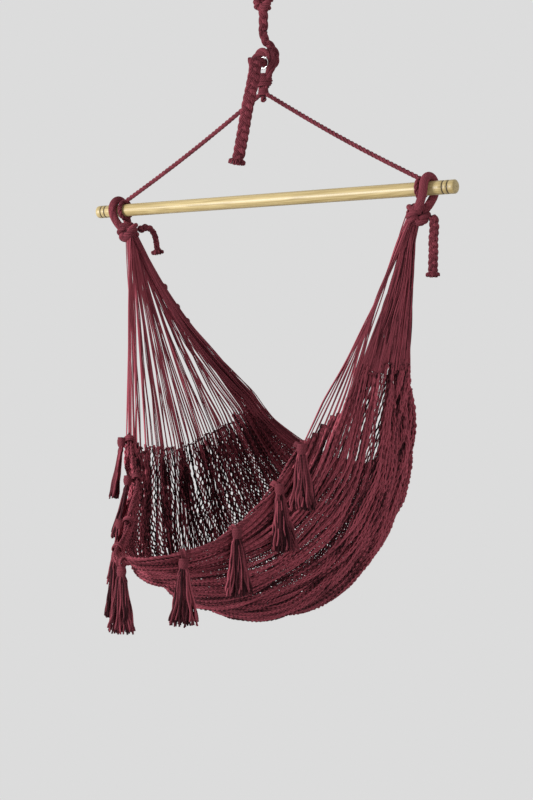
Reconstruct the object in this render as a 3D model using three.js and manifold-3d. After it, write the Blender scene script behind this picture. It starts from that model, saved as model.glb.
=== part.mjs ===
// A hanging net chair: a rope and ring, a two-legged bridle, a turned wooden bar and a netted seat.
// Millimetres, Z up. X runs along the bar, the sitter faces minus Y, and the origin is the inside top
// of the rope loop that goes over a ceiling hook. Left is minus X, as seen from the front.
import * as THREE from "three";
import { mergeVertices } from "three/addons/utils/BufferGeometryUtils.js";
import Module from "manifold-3d";

const wasm = await Module();
wasm.setup();

// Fits
const clearance = 0.3;
const overrun = 2;
const weldDistance = 0.0005;
const shortestEdge = 0.01;

// Hanging rope, its loop and its top knot
const hangRopeDiameter = 21;
const hookSpace = 38;
const hangLoopLength = 86;
const topKnotWidth = 50;
const topKnotHeight = 44;
const hangRopeLength = 38;
const ropeSwing = 30;

// Hitch through the ring, and the loose tail below it
const ringWire = 4;
const hitchNeck = 26;
const hitchBackReach = 25;
const hitchSideReach = 14;
const hitchFrontReach = 24.9;
const tailDiameter = 24;
const tailRoute = [
  [0, -37, 0],
  [9, -45, -6],
  [16, -54, -24],
  [16, -62, -52],
  [12, -68, -84],
  [7, -73, -118],
  [2, -76, -152],
  [-4, -78, -186],
  [-11, -80, -222],
];
const tailEndDiameter = 38;
const tailEndHeight = 15;

// Cord-wrapped eye, its whipping and the bridle legs
const eyeWrapDiameter = 20;
const eyeFootDiameter = 12;
const eyeLength = 59;
const whippingHeight = 15;
const whippingDiameter = 26;
const wrapKnobDiameter = 15;
const bridleRise = 252;
const bridleRopeDiameter = 11;

// Spreader bar
const barLength = 1000;
const barDiameter = 30;
const barEndRound = 4;
const grooveInset = 17;
const groovePitch = 12;
const grooveWidth = 3;
const grooveDepth = 1.5;
const hitchSpacing = 3.5;

// Arm loops, their knots and loose tails
const armLoopDiameter = 22;
const armLoopInset = 66;
const armLoopLean = 30;
const armKnotDrop = 54;
const armKnotWidth = 56;
const armKnotHeight = 48;
const armTailDiameter = 18;
const armTailEndDiameter = 29;
const armTailEndHeight = 12;
const leftTailRoute = [
  [10, 29, 6],
  [13, 41, 13],
  [18, 54, 14],
  [22, 64, 6],
  [25, 70, -6],
  [26, 74, -22],
  [27, 76, -38],
];
const rightTailRoute = [
  [34, 10, -4],
  [34, 14, -28],
  [30, 17, -54],
  [30, 18, -76],
  [29, 18, -98],
  [29, 18, -120],
];

// Strings of the two fans
const stringDiameter = 4.6;
const apexInset = 6;
const apexRise = 9;
const bundleThickness = 22;
const stringEndGap = 1.5;
const backSlack = 34;
const backSag = 14;

// Woven seat
const shoulderReach = 318;
const shoulderDepth = 245;
const shoulderDrop = 559;
const frontReach = 492;
const backReach = 430;
const seatDrop = 939;
const leftTuck = 40;
const netThickness = 5;
const foldDepth = 9;
const foldCount = 8;
const frontCordDiameter = 16;
const backCordDiameter = 30;
const backCordRootDiameter = 15;

// Tassels along the front edge
const tasselHeadDiameter = 25;
const tasselHeadHeight = 25;
const tasselNeckDiameter = 15;
const tasselSkirtLength = 112;
const tasselSkirtDiameter = 66;
const tasselFluteDepth = 5;
const saddleFlare = 3;

// The seat's outline across its width, as shares of the sizes above. Each row starts with its place
// from the front edge, 0, to the back edge, 1. The shoulder is where the strings become the net.
const shoulderShares = [
  [0, 0.75, -0.78, 0.95],
  [0.12, 0.89, -0.54, 0.98],
  [0.3, 1, -0.18, 1],
  [0.5, 0.99, 0.2, 0.99],
  [0.7, 0.92, 0.55, 0.95],
  [0.87, 0.8, 0.82, 0.88],
  [1, 0.69, 1, 0.82],
];
// The middle line: its place, its depth forwards or backwards, and its drop below the bar.
const middleShares = [
  [0, -1, 0.825],
  [0.12, -0.82, 0.845],
  [0.3, -0.49, 0.935],
  [0.5, -0.13, 1],
  [0.68, 0.27, 0.99],
  [0.82, 0.61, 0.93],
  [0.92, 0.85, 0.835],
  [1, 1, 0.675],
];
// How far the pull of the strings and of the seat's bottom carries into the curve between them.
const pullShares = [
  [0, 0.42, 0.42],
  [0.3, 0.4, 0.42],
  [0.5, 0.36, 0.44],
  [0.7, 0.3, 0.4],
  [0.85, 0.28, 0.38],
  [1, 0.3, 0.42],
];
// Tassel places along half of the front edge, from its middle, with the lean of each head out from
// the net and the tilt of its skirt, in degrees: the outer tassels lie on the seat's wall.
const tasselShares = [0, 0.25, 0.51, 0.79, 0.975];
const tasselLeans = [0, 12, 75, 75, 75];
const tasselTilts = [0, 0, 8, 13, 9];

const ropeColour = 0x74323f;
const ropeDark = 0x602834;
const woodColour = 0xdcc08c;
const steelColour = 0xc9cbce;

const hangRopeRadius = hangRopeDiameter / 2;
const bridleRopeRadius = bridleRopeDiameter / 2;
const barRadius = barDiameter / 2;
const armLoopReach = barLength / 2 - armLoopInset;
const armKnotReach = armLoopReach - armLoopLean;
const hitchReach = armLoopReach - (armLoopDiameter + bridleRopeDiameter) / 2 - hitchSpacing;
const ringRadius = hangRopeRadius + clearance + ringWire / 2;
const eyeRadius = ringRadius + ringWire / 2 + clearance + eyeWrapDiameter / 2;
const swingAngle = THREE.MathUtils.degToRad(ropeSwing);
const topKnotBottom = -hangLoopLength - topKnotHeight;
const ropePivot = topKnotBottom - hangRopeRadius * Math.sin(swingAngle) - clearance;
const hitchTop = ropePivot - hangRopeLength - clearance;
const eyeGrip = eyeWrapDiameter / 2 + hangRopeRadius + clearance;
const ringCentre = hitchTop - hitchNeck - eyeGrip - eyeRadius;
const apexHeight = ringCentre - eyeLength;
const barHeight = apexHeight - bridleRise;

const at = (x, y, z) => new THREE.Vector3(x, y, z);
const up = at(0, 0, 1);

function paint(colour, roughness, metalness) {
  return new THREE.MeshStandardMaterial({ color: colour, roughness, metalness });
}

const cotton = paint(ropeColour, 0.95, 0);
const cottonDark = paint(ropeDark, 0.95, 0);
const wood = paint(woodColour, 0.55, 0);
const steel = paint(steelColour, 0.25, 1);

// Solids for cutting and joining

function signedVolume(positions, index) {
  let total = 0;
  const [a, b, c] = [at(0, 0, 0), at(0, 0, 0), at(0, 0, 0)];
  for (let i = 0; i < index.length; i += 3) {
    a.fromArray(positions, index[i] * 3);
    b.fromArray(positions, index[i + 1] * 3);
    c.fromArray(positions, index[i + 2] * 3);
    total += a.dot(b.cross(c));
  }
  return total / 6;
}

function closedGeometry(points, index) {
  const positions = points.flatMap((p) => [p.x, p.y, p.z]);
  if (signedVolume(positions, index) < 0) index.reverse();
  const geometry = new THREE.BufferGeometry();
  geometry.setAttribute("position", new THREE.Float32BufferAttribute(positions, 3));
  geometry.setIndex(index);
  return geometry;
}

function solid(geometry) {
  const bare = geometry.clone();
  bare.deleteAttribute("normal");
  bare.deleteAttribute("uv");
  const merged = mergeVertices(bare, weldDistance);
  const vertProperties = new Float32Array(merged.attributes.position.array);
  const triVerts = new Uint32Array(merged.index.array);
  return new wasm.Manifold(new wasm.Mesh({ numProp: 3, vertProperties, triVerts }));
}

function shape(body) {
  const mesh = body.simplify(shortestEdge).getMesh();
  const geometry = new THREE.BufferGeometry();
  geometry.setAttribute("position", new THREE.BufferAttribute(mesh.vertProperties, 3));
  geometry.setIndex(new THREE.BufferAttribute(mesh.triVerts, 1));
  geometry.computeVertexNormals();
  return geometry;
}

function joined(solids) {
  return solids.reduce((whole, next) => whole.add(next));
}

// What stays after cuts: the largest of the bodies, without the crumbs.
function mainBody(body) {
  return body.decompose().reduce((most, next) => (next.volume() > most.volume() ? next : most));
}

function addPart(group, name, geometry, material) {
  const mesh = new THREE.Mesh(geometry, material);
  mesh.name = name;
  group.add(mesh);
  return mesh;
}

// A body through rings of points, all with one count. Its ends are capped, or it runs round.
function loft(rings, runsRound = false) {
  const sides = rings[0].length;
  const index = [];
  const spans = runsRound ? rings.length : rings.length - 1;
  for (let i = 0; i < spans; i++) {
    const here = i * sides;
    const there = ((i + 1) % rings.length) * sides;
    for (let j = 0; j < sides; j++) {
      const k = (j + 1) % sides;
      index.push(here + j, here + k, there + k, here + j, there + k, there + j);
    }
  }
  if (!runsRound) {
    const last = (rings.length - 1) * sides;
    for (let j = 1; j < sides - 1; j++) {
      index.push(0, j + 1, j, last, last + j, last + j + 1);
    }
  }
  return closedGeometry(rings.flat(), index);
}

// A tube whose rings stand on the points given, with a radius that may change along it.
function tube(points, radiusAt, sides, runsRound = false) {
  const count = points.length;
  const rings = [];
  let side = null;
  points.forEach((point, i) => {
    const before = points[runsRound ? (i + count - 1) % count : Math.max(i - 1, 0)];
    const after = points[runsRound ? (i + 1) % count : Math.min(i + 1, count - 1)];
    const along = after.clone().sub(before).normalize();
    const start = side ?? (Math.abs(along.z) < 0.9 ? up : at(1, 0, 0));
    side = start.clone().addScaledVector(along, -start.dot(along)).normalize();
    const across = along.clone().cross(side);
    const radius = radiusAt(i / (count - 1));
    rings.push(circleOf(point, side, across, radius, sides));
  });
  return loft(rings, runsRound);
}

function circleOf(centre, side, across, radius, sides) {
  return Array.from({ length: sides }, (_, j) => {
    const angle = (2 * Math.PI * j) / sides;
    return centre
      .clone()
      .addScaledVector(side, radius * Math.cos(angle))
      .addScaledVector(across, radius * Math.sin(angle));
  });
}

function ball(radius, centre, around = 12, down = 7) {
  const geometry = new THREE.SphereGeometry(radius, around, down);
  return geometry.rotateX(Math.PI / 2).translate(centre.x, centre.y, centre.z);
}

// A straight round rod between two points.
function rod(from, to, radius, sides) {
  const along = to.clone().sub(from);
  const geometry = new THREE.CylinderGeometry(radius, radius, along.length(), sides);
  const turn = new THREE.Quaternion().setFromUnitVectors(at(0, 1, 0), along.clone().normalize());
  const middle = from.clone().lerp(to, 0.5);
  return geometry.applyQuaternion(turn).translate(middle.x, middle.y, middle.z);
}

// A free cord: a round section drawn along its route.
function cord(points, diameter, sides) {
  const route = new THREE.CatmullRomCurve3(points, false, "centripetal");
  const section = new THREE.Shape();
  for (let j = 0; j < sides; j++) {
    const angle = (2 * Math.PI * j) / sides;
    const [x, y] = [Math.cos(angle) * diameter / 2, Math.sin(angle) * diameter / 2];
    if (j === 0) section.moveTo(x, y);
    else section.lineTo(x, y);
  }
  section.closePath();
  const steps = Math.ceil(route.getLength() / (2 * diameter));
  return new THREE.ExtrudeGeometry(section, { steps, extrudePath: route, curveSegments: sides });
}

// A cord that swings at its first point, where it has a round root.
function hangingCord(points, diameter) {
  const root = solid(ball(diameter / 2, points[0]));
  return root.add(solid(cord(points, diameter, 10)));
}

// A tied knot: a core with two crossing turns round it, grown by a fit where a neighbour is cut.
function knot(centre, width, height, grow = 0) {
  const core = new THREE.SphereGeometry(1, 12, 8).rotateX(Math.PI / 2);
  const half = at(width * 0.43 + grow, width * 0.4 + grow, height * 0.46 + grow);
  core.scale(half.x, half.y, half.z);
  const turnRadius = height * 0.2;
  const turns = [1, -1].map((lean) => {
    const turn = new THREE.TorusGeometry(width / 2 - turnRadius, turnRadius + grow, 7, 14);
    turn.rotateX(lean * 0.45).rotateY(lean * 0.35);
    return solid(turn.translate(0, 0, lean * height * 0.14));
  });
  return joined([solid(core), ...turns]).translate([centre.x, centre.y, centre.z]);
}

// The wrapped and flared end of a rope, below its last point and square to it.
function ropeEnd(points, diameter, height) {
  const radius = diameter / 2;
  const profile = [
    [0, 0],
    [radius * 0.6, 0],
    [radius * 0.72, height * 0.3],
    [radius, height * 0.7],
    [radius * 0.75, height],
    [0, height],
  ];
  const geometry = new THREE.LatheGeometry(
    profile.map(([r, h]) => new THREE.Vector2(r, h)),
    12,
  );
  const tip = points[points.length - 1];
  const along = tip.clone().sub(points[points.length - 2]).normalize();
  const turn = new THREE.Quaternion().setFromUnitVectors(at(0, 1, 0), along);
  const place = tip.clone().addScaledVector(along, clearance);
  return geometry.applyQuaternion(turn).translate(place.x, place.y, place.z);
}

function routeOf(rows, origin) {
  return rows.map(([x, y, z]) => at(x, y, z).add(origin));
}

// Hanging loop, top knot and rope

const topKnotCentre = at(0, 0, -hangLoopLength - topKnotHeight / 2);

function topKnot() {
  const socket = solid(ball(hangRopeRadius + clearance, at(0, 0, ropePivot), 16, 10));
  const body = knot(topKnotCentre, topKnotWidth, topKnotHeight);
  const lowest = body.boundingBox().min[2];
  return body.translate([0, 0, topKnotBottom - lowest]).subtract(socket);
}

function hangLoop() {
  const halfWidth = (hookSpace + hangRopeDiameter) / 2;
  const arc = Array.from({ length: 9 }, (_, i) => {
    const angle = (Math.PI * i) / 8;
    return at(
      halfWidth * Math.cos(angle),
      0,
      hangRopeRadius - halfWidth * (1 - Math.sin(angle)),
    );
  });
  const footTop = -hangLoopLength * 0.6;
  const foot = (side) => [
    at(side * halfWidth * 0.85, 0, footTop),
    at(side * halfWidth * 0.5, 0, -hangLoopLength),
    at(side * halfWidth * 0.4, 0, topKnotCentre.z),
  ];
  const points = [...foot(1).reverse(), ...arc, ...foot(-1)];
  const body = solid(tube(points, () => hangRopeRadius, 10));
  const seat = knot(topKnotCentre, topKnotWidth, topKnotHeight, clearance);
  const lowest = knot(topKnotCentre, topKnotWidth, topKnotHeight).boundingBox().min[2];
  return body.subtract(seat.translate([0, 0, topKnotBottom - lowest]));
}

function hangingRope() {
  const top = at(0, 0, ropePivot);
  const bottom = at(0, 0, ropePivot - hangRopeLength);
  return hangingCord([top, top.clone().lerp(bottom, 0.5), bottom], hangRopeDiameter);
}

// Hitch: the rope turns behind the eye and comes forward through the ring.
function hitch() {
  const drop = hitchTop - ringCentre;
  const points = [
    at(0, 0, drop + overrun),
    at(0, 0, drop - hitchNeck * 0.2),
    at(hitchSideReach * 0.1, hitchBackReach * 0.18, eyeRadius + eyeGrip + hitchNeck * 0.24),
    at(hitchSideReach * 0.4, hitchBackReach * 0.66, eyeRadius + eyeGrip * 0.78),
    at(hitchSideReach * 0.8, hitchBackReach, eyeRadius * 1.15),
    at(hitchSideReach, hitchBackReach * 1.08, eyeRadius * 0.5),
    at(hitchSideReach * 0.7, hitchBackReach, 0),
    at(hitchSideReach * 0.2, hitchBackReach * 0.68, -hangRopeRadius * 0.16),
    at(0, hitchBackReach * 0.25, 0),
    at(0, 0, 0),
    at(0, -hitchFrontReach - overrun, 0),
  ];
  const curve = new THREE.CatmullRomCurve3(points, false, "centripetal");
  const stations = curve.getPoints(22);
  return solid(tube(stations, () => hangRopeRadius, 10))
    .trimByPlane([0, 0, -1], -drop)
    .trimByPlane([0, 1, 0], -hitchFrontReach)
    .translate([0, 0, ringCentre]);
}

function eyeRing() {
  const geometry = new THREE.TorusGeometry(ringRadius, ringWire / 2, 8, 18);
  return geometry.rotateX(Math.PI / 2).translate(0, 0, ringCentre);
}

// The eye is round about the ring, so that it can rock, and its two feet meet at the whipping.
function eyeWrap() {
  const opening = 0.62;
  const arc = Array.from({ length: 15 }, (_, i) => {
    const angle = -opening + ((Math.PI + 2 * opening) * i) / 14;
    return at(eyeRadius * Math.cos(angle), 0, eyeRadius * Math.sin(angle));
  });
  const foot = (side) => [
    at(side * eyeFootDiameter * 1.05, 0, -eyeLength * 0.62),
    at(side * (eyeFootDiameter / 2 + clearance), 0, -eyeLength * 0.82),
    at(side * (eyeFootDiameter / 2 + clearance), 0, -eyeLength),
  ];
  const points = [...foot(1).reverse(), ...arc, ...foot(-1)];
  const radiusAt = (share) => {
    const footShare = Math.min(1, Math.min(share, 1 - share) / 0.22);
    return (eyeFootDiameter + (eyeWrapDiameter - eyeFootDiameter) * footShare) / 2;
  };
  return tube(points, radiusAt, 10).translate(0, 0, ringCentre);
}

const whippingTop = apexHeight - clearance;
const whippingFoot = whippingTop - whippingHeight;

function whipping(grow = 0) {
  const radius = whippingDiameter / 2 + grow;
  const geometry = new THREE.CylinderGeometry(radius, radius * 0.86, whippingHeight + 2 * grow, 18);
  return geometry.rotateX(Math.PI / 2).translate(0, 0, whippingTop - whippingHeight / 2);
}

function wrapKnob(grow = 0) {
  const radius = wrapKnobDiameter / 2;
  return ball(radius + grow, at(0, 0, whippingFoot - clearance - radius), 14, 9);
}

// Bridle hitch: one turn of the bridle rope round the bar.
const hitchRadius = barRadius + clearance + bridleRopeRadius;

function barHitch(side, grow = 0) {
  const geometry = new THREE.TorusGeometry(hitchRadius, bridleRopeRadius + grow, 8, 18);
  return geometry.rotateY(Math.PI / 2).translate(side * hitchReach, 0, barHeight);
}

function bridleLeg(side) {
  const top = at(side * whippingDiameter * 0.2, 0, whippingFoot + bridleRopeRadius);
  const foot = at(side * hitchReach, 0, barHeight + hitchRadius);
  const leg = solid(rod(top, foot, bridleRopeRadius, 10));
  return leg
    .subtract(solid(whipping(clearance)))
    .subtract(solid(wrapKnob(clearance)))
    .subtract(solid(barHitch(side, clearance)));
}

// Spreader bar with two turned grooves near each end.
function spreaderBar() {
  const half = barLength / 2;
  const groove = (inset) => [
    [barRadius, half - inset + grooveWidth / 2],
    [barRadius - grooveDepth, half - inset],
    [barRadius, half - inset - grooveWidth / 2],
  ];
  const end = [
    [0, half],
    [barRadius - barEndRound, half],
    [barRadius - barEndRound * 0.3, half - barEndRound * 0.3],
    [barRadius, half - barEndRound],
    ...groove(grooveInset),
    ...groove(grooveInset + groovePitch),
  ];
  const otherEnd = end.map(([r, x]) => [r, -x]);
  const profile = [...otherEnd, ...end.reverse()].map(([r, x]) => new THREE.Vector2(r, x));
  return new THREE.LatheGeometry(profile, 18).rotateZ(-Math.PI / 2).translate(0, 0, barHeight);
}

// The seat is drawn about the bar's centre, and its group stands at the bar.

// A smooth value between the rows of a table whose first column is the place.
function readTable(rows, place) {
  const last = rows.length - 1;
  let i = 0;
  while (i < last - 1 && rows[i + 1][0] < place) i++;
  const span = rows[i + 1][0] - rows[i][0];
  const share = (place - rows[i][0]) / span;
  const slope = (k, column) => {
    const [before, after] = [Math.max(k - 1, 0), Math.min(k + 1, last)];
    return (rows[after][column] - rows[before][column]) / (rows[after][0] - rows[before][0]);
  };
  return rows[i].slice(1).map((value, c) => {
    const column = c + 1;
    const [s2, s3] = [share ** 2, share ** 3];
    return (
      (2 * s3 - 3 * s2 + 1) * value +
      (s3 - 2 * s2 + share) * span * slope(i, column) +
      (3 * s2 - 2 * s3) * rows[i + 1][column] +
      (s3 - s2) * span * slope(i + 1, column)
    );
  });
}

function smoothStep(low, high, value) {
  return THREE.MathUtils.smoothstep(value, low, high);
}

const apex = at(armKnotReach - apexInset, 0, apexRise - armKnotDrop);
const slackFrom = 0.66;
const bundleStartShare = 0.035;
const bundleEndShare = 0.4;

// Where the net starts, on the right-hand side, at a place across the seat.
function shoulderPoint(place) {
  const [x, y, z] = readTable(shoulderShares, place);
  return at(x * shoulderReach, y * shoulderDepth, -z * shoulderDrop);
}

function middlePoint(place) {
  const [depth, drop] = readTable(middleShares, place);
  return at(0, depth * (depth < 0 ? frontReach : backReach), -drop * seatDrop);
}

// The front edge meets itself in the middle at a blunt corner; behind it the net runs straight over.
function middleHeading(place) {
  const corner = 1 - smoothStep(0, 0.2, place);
  const straight = at(-1, 0, 0).multiplyScalar(1 - corner);
  return straight.addScaledVector(at(-0.88, -0.47, -0.02), corner).normalize();
}

// A point of the net on the right-hand side, from the shoulder, 0, to the middle line, 1.
function rightNetPoint(place, share) {
  const shoulder = shoulderPoint(place);
  const middle = middlePoint(place);
  const [pull, bottomPull] = readTable(pullShares, place);
  const reach = shoulder.distanceTo(middle);
  const stringWay = shoulder.clone().sub(apex).normalize();
  const high = shoulder.clone().addScaledVector(stringWay, reach * pull);
  const low = middle.clone().addScaledVector(middleHeading(place), -reach * bottomPull);
  return new THREE.CubicBezierCurve3(shoulder, high, low, middle).getPoint(share);
}

// How far the left wall's front is tucked in, between the shoulder and the front corner.
function tuckAt(place, across) {
  const front = 1 - smoothStep(0, 0.3, place);
  return leftTuck * front * smoothStep(0, 0.45, -across) * (1 - smoothStep(0.7, 1, -across));
}

// A point of the net: across runs from -1 at the left shoulder to 1 at the right one.
function netPoint(place, across) {
  const point = rightNetPoint(place, 1 - Math.abs(across));
  if (across < 0) point.x = tuckAt(place, across) - point.x;
  return point;
}

function netNormal(place, across) {
  const step = 0.002;
  const low = Math.max(across - step, -1);
  const high = Math.min(across + step, 1);
  const along = netPoint(place, high).sub(netPoint(place, low));
  const [front, back] = [Math.max(place - step, 0), Math.min(place + step, 1)];
  const over = netPoint(back, across).sub(netPoint(front, across));
  return along.cross(over).normalize();
}

function foldAt(place) {
  const edge = smoothStep(0, 0.08, place) * smoothStep(0, 0.08, 1 - place);
  return foldDepth * edge * Math.sin(2 * Math.PI * foldCount * place);
}

function foldedPoint(place, across) {
  const point = netPoint(place, across);
  return point.addScaledVector(netNormal(place, across), foldAt(place));
}

// A point on a string from the knot, 0, to the shoulder, 1. The folds begin where the bundle opens,
// and the back strings hang a little slack.
function stringPoint(side, place, share) {
  const opened = Math.max(0, (share - bundleEndShare) / (1 - bundleEndShare));
  const start = at(side * apex.x, 0, apex.z);
  const point = start.lerp(netPoint(place, side), share);
  point.addScaledVector(netNormal(place, side), opened * foldAt(place));
  const behind = Math.max(0, (place - slackFrom) / (1 - slackFrom));
  const slack = behind ** 1.6 * Math.sin(Math.PI * share);
  return point.add(at(0, -backSlack * slack, -backSag * slack));
}

// A sheet body: a grid of middle points with half its thickness laid off to each side.
function sheetBody(grid, halfAt) {
  const [rows, columns] = [grid.length, grid[0].length];
  const points = [];
  for (const face of [1, -1]) {
    for (let i = 0; i < rows; i++) {
      for (let j = 0; j < columns; j++) {
        const along = grid[Math.min(i + 1, rows - 1)][j].clone().sub(grid[Math.max(i - 1, 0)][j]);
        const over = grid[i][Math.min(j + 1, columns - 1)].clone().sub(grid[i][Math.max(j - 1, 0)]);
        const normal = along.cross(over).normalize();
        points.push(grid[i][j].clone().addScaledVector(normal, face * halfAt(i, j)));
      }
    }
  }
  const front = (i, j) => i * columns + j;
  const back = (i, j) => rows * columns + i * columns + j;
  const index = [];
  const quad = (a, b, c, d) => index.push(a, b, c, a, c, d);
  for (let i = 0; i < rows - 1; i++) {
    for (let j = 0; j < columns - 1; j++) {
      quad(front(i, j), front(i + 1, j), front(i + 1, j + 1), front(i, j + 1));
      quad(back(i, j), back(i, j + 1), back(i + 1, j + 1), back(i + 1, j));
    }
    quad(front(i, 0), back(i, 0), back(i + 1, 0), front(i + 1, 0));
    const j = columns - 1;
    quad(front(i, j), front(i + 1, j), back(i + 1, j), back(i, j));
  }
  for (let j = 0; j < columns - 1; j++) {
    quad(front(0, j), front(0, j + 1), back(0, j + 1), back(0, j));
    const i = rows - 1;
    quad(front(i, j), back(i, j), back(i, j + 1), front(i, j + 1));
  }
  return closedGeometry(points, index);
}

// Edge cords: the front one spans the net, the back one runs from knot to knot.
const frontSteps = 44;
const frontSpans = 32;
const backSpans = 16;
const frontEdge = new THREE.CatmullRomCurve3(edgePoints(0, frontSpans), false, "centripetal");

// Points along one edge of the net, from the left shoulder to the right.
function edgePoints(place, spans) {
  return Array.from({ length: spans + 1 }, (_, i) => netPoint(place, (2 * i) / spans - 1));
}

function frontCord(grow = 0) {
  const stations = frontEdge.getPoints(frontSteps);
  return tube(stations, () => frontCordDiameter / 2 + grow, 8);
}

function backCord(grow = 0) {
  const stringStations = [0.05, 0.15, 0.3, 0.5, 0.7, 0.86];
  const left = stringStations.map((share) => stringPoint(-1, 1, share));
  const right = stringStations.map((share) => stringPoint(1, 1, share)).reverse();
  const net = edgePoints(1, backSpans);
  const radiusAt = (share) => {
    const fill = smoothStep(0, 0.2, Math.min(share, 1 - share));
    return (backCordRootDiameter + (backCordDiameter - backCordRootDiameter) * fill) / 2 + grow;
  };
  return tube([...left, ...net, ...right], radiusAt, 8);
}

function armKnotCentre(side) {
  return at(side * armKnotReach, 0, -armKnotDrop);
}

function armKnot(side, grow = 0) {
  return knot(armKnotCentre(side), armKnotWidth, armKnotHeight, grow);
}

// The knot is drawn tight over the strings, so its underside is flat and they meet it there.
const armKnotFoot = -armKnotDrop - armKnotHeight * 0.4;

function armKnotTrimmed(side, tailRoot) {
  const socket = solid(ball(armTailDiameter / 2 + clearance, tailRoot, 16, 10));
  return armKnot(side).trimByPlane([0, 0, 1], armKnotFoot).subtract(socket);
}

function belowArmKnot(body) {
  return mainBody(body.trimByPlane([0, 0, -1], clearance - armKnotFoot));
}

// Arm loop: up one side of the bar, over it and down the other into the knot.
function armLoop(side) {
  const radius = armLoopDiameter / 2;
  const bend = (barRadius + clearance) / Math.cos(Math.PI / 20) + radius;
  const arc = Array.from({ length: 11 }, (_, i) => {
    const angle = (Math.PI * i) / 10;
    return at(side * armLoopReach, bend * Math.cos(angle), bend * Math.sin(angle));
  });
  const foot = (way) => [
    at(side * (armLoopReach - armLoopLean * 0.1), way * bend * 0.95, -armKnotDrop * 0.26),
    at(side * (armLoopReach - armLoopLean * 0.4), way * bend * 0.77, -armKnotDrop * 0.6),
    at(side * (armLoopReach - armLoopLean * 0.8), way * bend * 0.45, -armKnotDrop * 0.93),
  ];
  const points = [...foot(1).reverse(), ...arc, ...foot(-1)];
  return mainBody(solid(tube(points, () => radius, 10)).subtract(armKnot(side, clearance)));
}

// A third of one fan: a gathered bundle under the knot that opens into single strings.
const thirds = {
  front: { places: [0, 0.33], count: 12 },
  middle: { places: [0.33, slackFrom], count: 12 },
  back: { places: [slackFrom, 0.88], count: 8 },
};

function stringPlaces({ places: [first, last], count }) {
  return Array.from(
    { length: count },
    (_, i) => first + ((last - first) * (i + 0.75)) / (count + 0.5),
  );
}

// A bundle runs from a round root near the knot to the row of string starts, half a third at a time.
function bundle(side, third) {
  const places = [third.places[0], ...stringPlaces(third), third.places[1]];
  const half = Math.floor(places.length / 2);
  const start = at(side * apex.x, 0, apex.z);
  const heart = netPoint(places[half], side);
  const root = start.clone().lerp(heart, bundleStartShare);
  const along = heart.sub(start).normalize();
  const across = along.clone().cross(up).normalize();
  const rootRing = circleOf(root, across, along.clone().cross(across), bundleThickness / 2, 12);
  const endPoints = (place) => {
    const normal = netNormal(place, side).multiplyScalar(stringDiameter * 0.6);
    const end = stringPoint(side, place, bundleEndShare);
    return [end.clone().add(normal), end.clone().sub(normal)];
  };
  const halves = [places.slice(0, half + 1), places.slice(half)].map((some) => {
    const points = [...rootRing, ...some.flatMap(endPoints)];
    return wasm.Manifold.hull(points.map((p) => p.toArray()));
  });
  return joined(halves);
}

// Keeps the part of a bundle on one side of the flat face between two thirds of the fan.
function keptBeside(body, side, place, way) {
  const start = at(side * apex.x, 0, apex.z);
  const along = netPoint(place, side).sub(start).normalize();
  const normal = along.cross(netNormal(place, side)).normalize();
  const onward = netPoint(place + 0.05, side).sub(netPoint(place, side));
  if (normal.dot(onward) * way < 0) normal.negate();
  return body.trimByPlane(normal.toArray(), normal.dot(start) + clearance / 2);
}

function stringGroup(side, name) {
  const third = thirds[name];
  const [first, last] = third.places;
  let gathered = bundle(side, third);
  if (name !== "front") gathered = keptBeside(gathered, side, first, 1);
  if (name !== "back") gathered = keptBeside(gathered, side, last, -1);
  if (name !== "front") gathered = gathered.subtract(solid(backCord(clearance)));
  const strings = stringPlaces(third).map((place) => {
    const length = stringPoint(side, place, 0).distanceTo(stringPoint(side, place, 1));
    const shares = [bundleEndShare - 0.02, 1 - stringEndGap / length];
    if (name === "back") shares.splice(1, 0, 0.7);
    const points = shares.map((share) => stringPoint(side, place, share));
    return solid(tube(points, () => stringDiameter / 2, 5));
  });
  const whole = joined([belowArmKnot(gathered), ...strings]);
  return name === "front" ? mainBody(whole.subtract(solid(frontCord(clearance)))) : whole;
}

function seatNet() {
  const rows = 15;
  const columns = 4 * foldCount + 1;
  const grid = Array.from({ length: rows }, (_, i) =>
    Array.from({ length: columns }, (_, j) =>
      foldedPoint(j / (columns - 1), (2 * i) / (rows - 1) - 1),
    ),
  );
  const sheet = solid(sheetBody(grid, () => netThickness / 2));
  return mainBody(
    sheet.subtract(solid(frontCord(clearance))).subtract(solid(backCord(clearance))),
  );
}

// Tassels

// A tassel's place: where it is tied, the way the edge runs there and the way out from the net.
function tasselPlace(number) {
  const step = number - tasselShares.length;
  const side = Math.sign(step);
  const share = tasselShares[Math.abs(step)];
  const tied = netPoint(0, side * share);
  const near = netPoint(0, side * share + 0.01).sub(netPoint(0, side * share - 0.01));
  const along = side === 0 ? at(1, 0, 0) : near.normalize();
  const out = at(along.y, -along.x, 0).normalize();
  if (out.y > 0) out.negate();
  const lean = THREE.MathUtils.degToRad(tasselLeans[Math.abs(step)]);
  const tilt = THREE.MathUtils.degToRad(tasselTilts[Math.abs(step)]);
  const headDistance = frontCordDiameter / 2 + tasselHeadHeight * 0.42;
  const head = tied
    .clone()
    .addScaledVector(out, headDistance * Math.sin(lean))
    .addScaledVector(up, -headDistance * Math.cos(lean));
  return { tied, along, out, head, lean, tilt };
}

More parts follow.
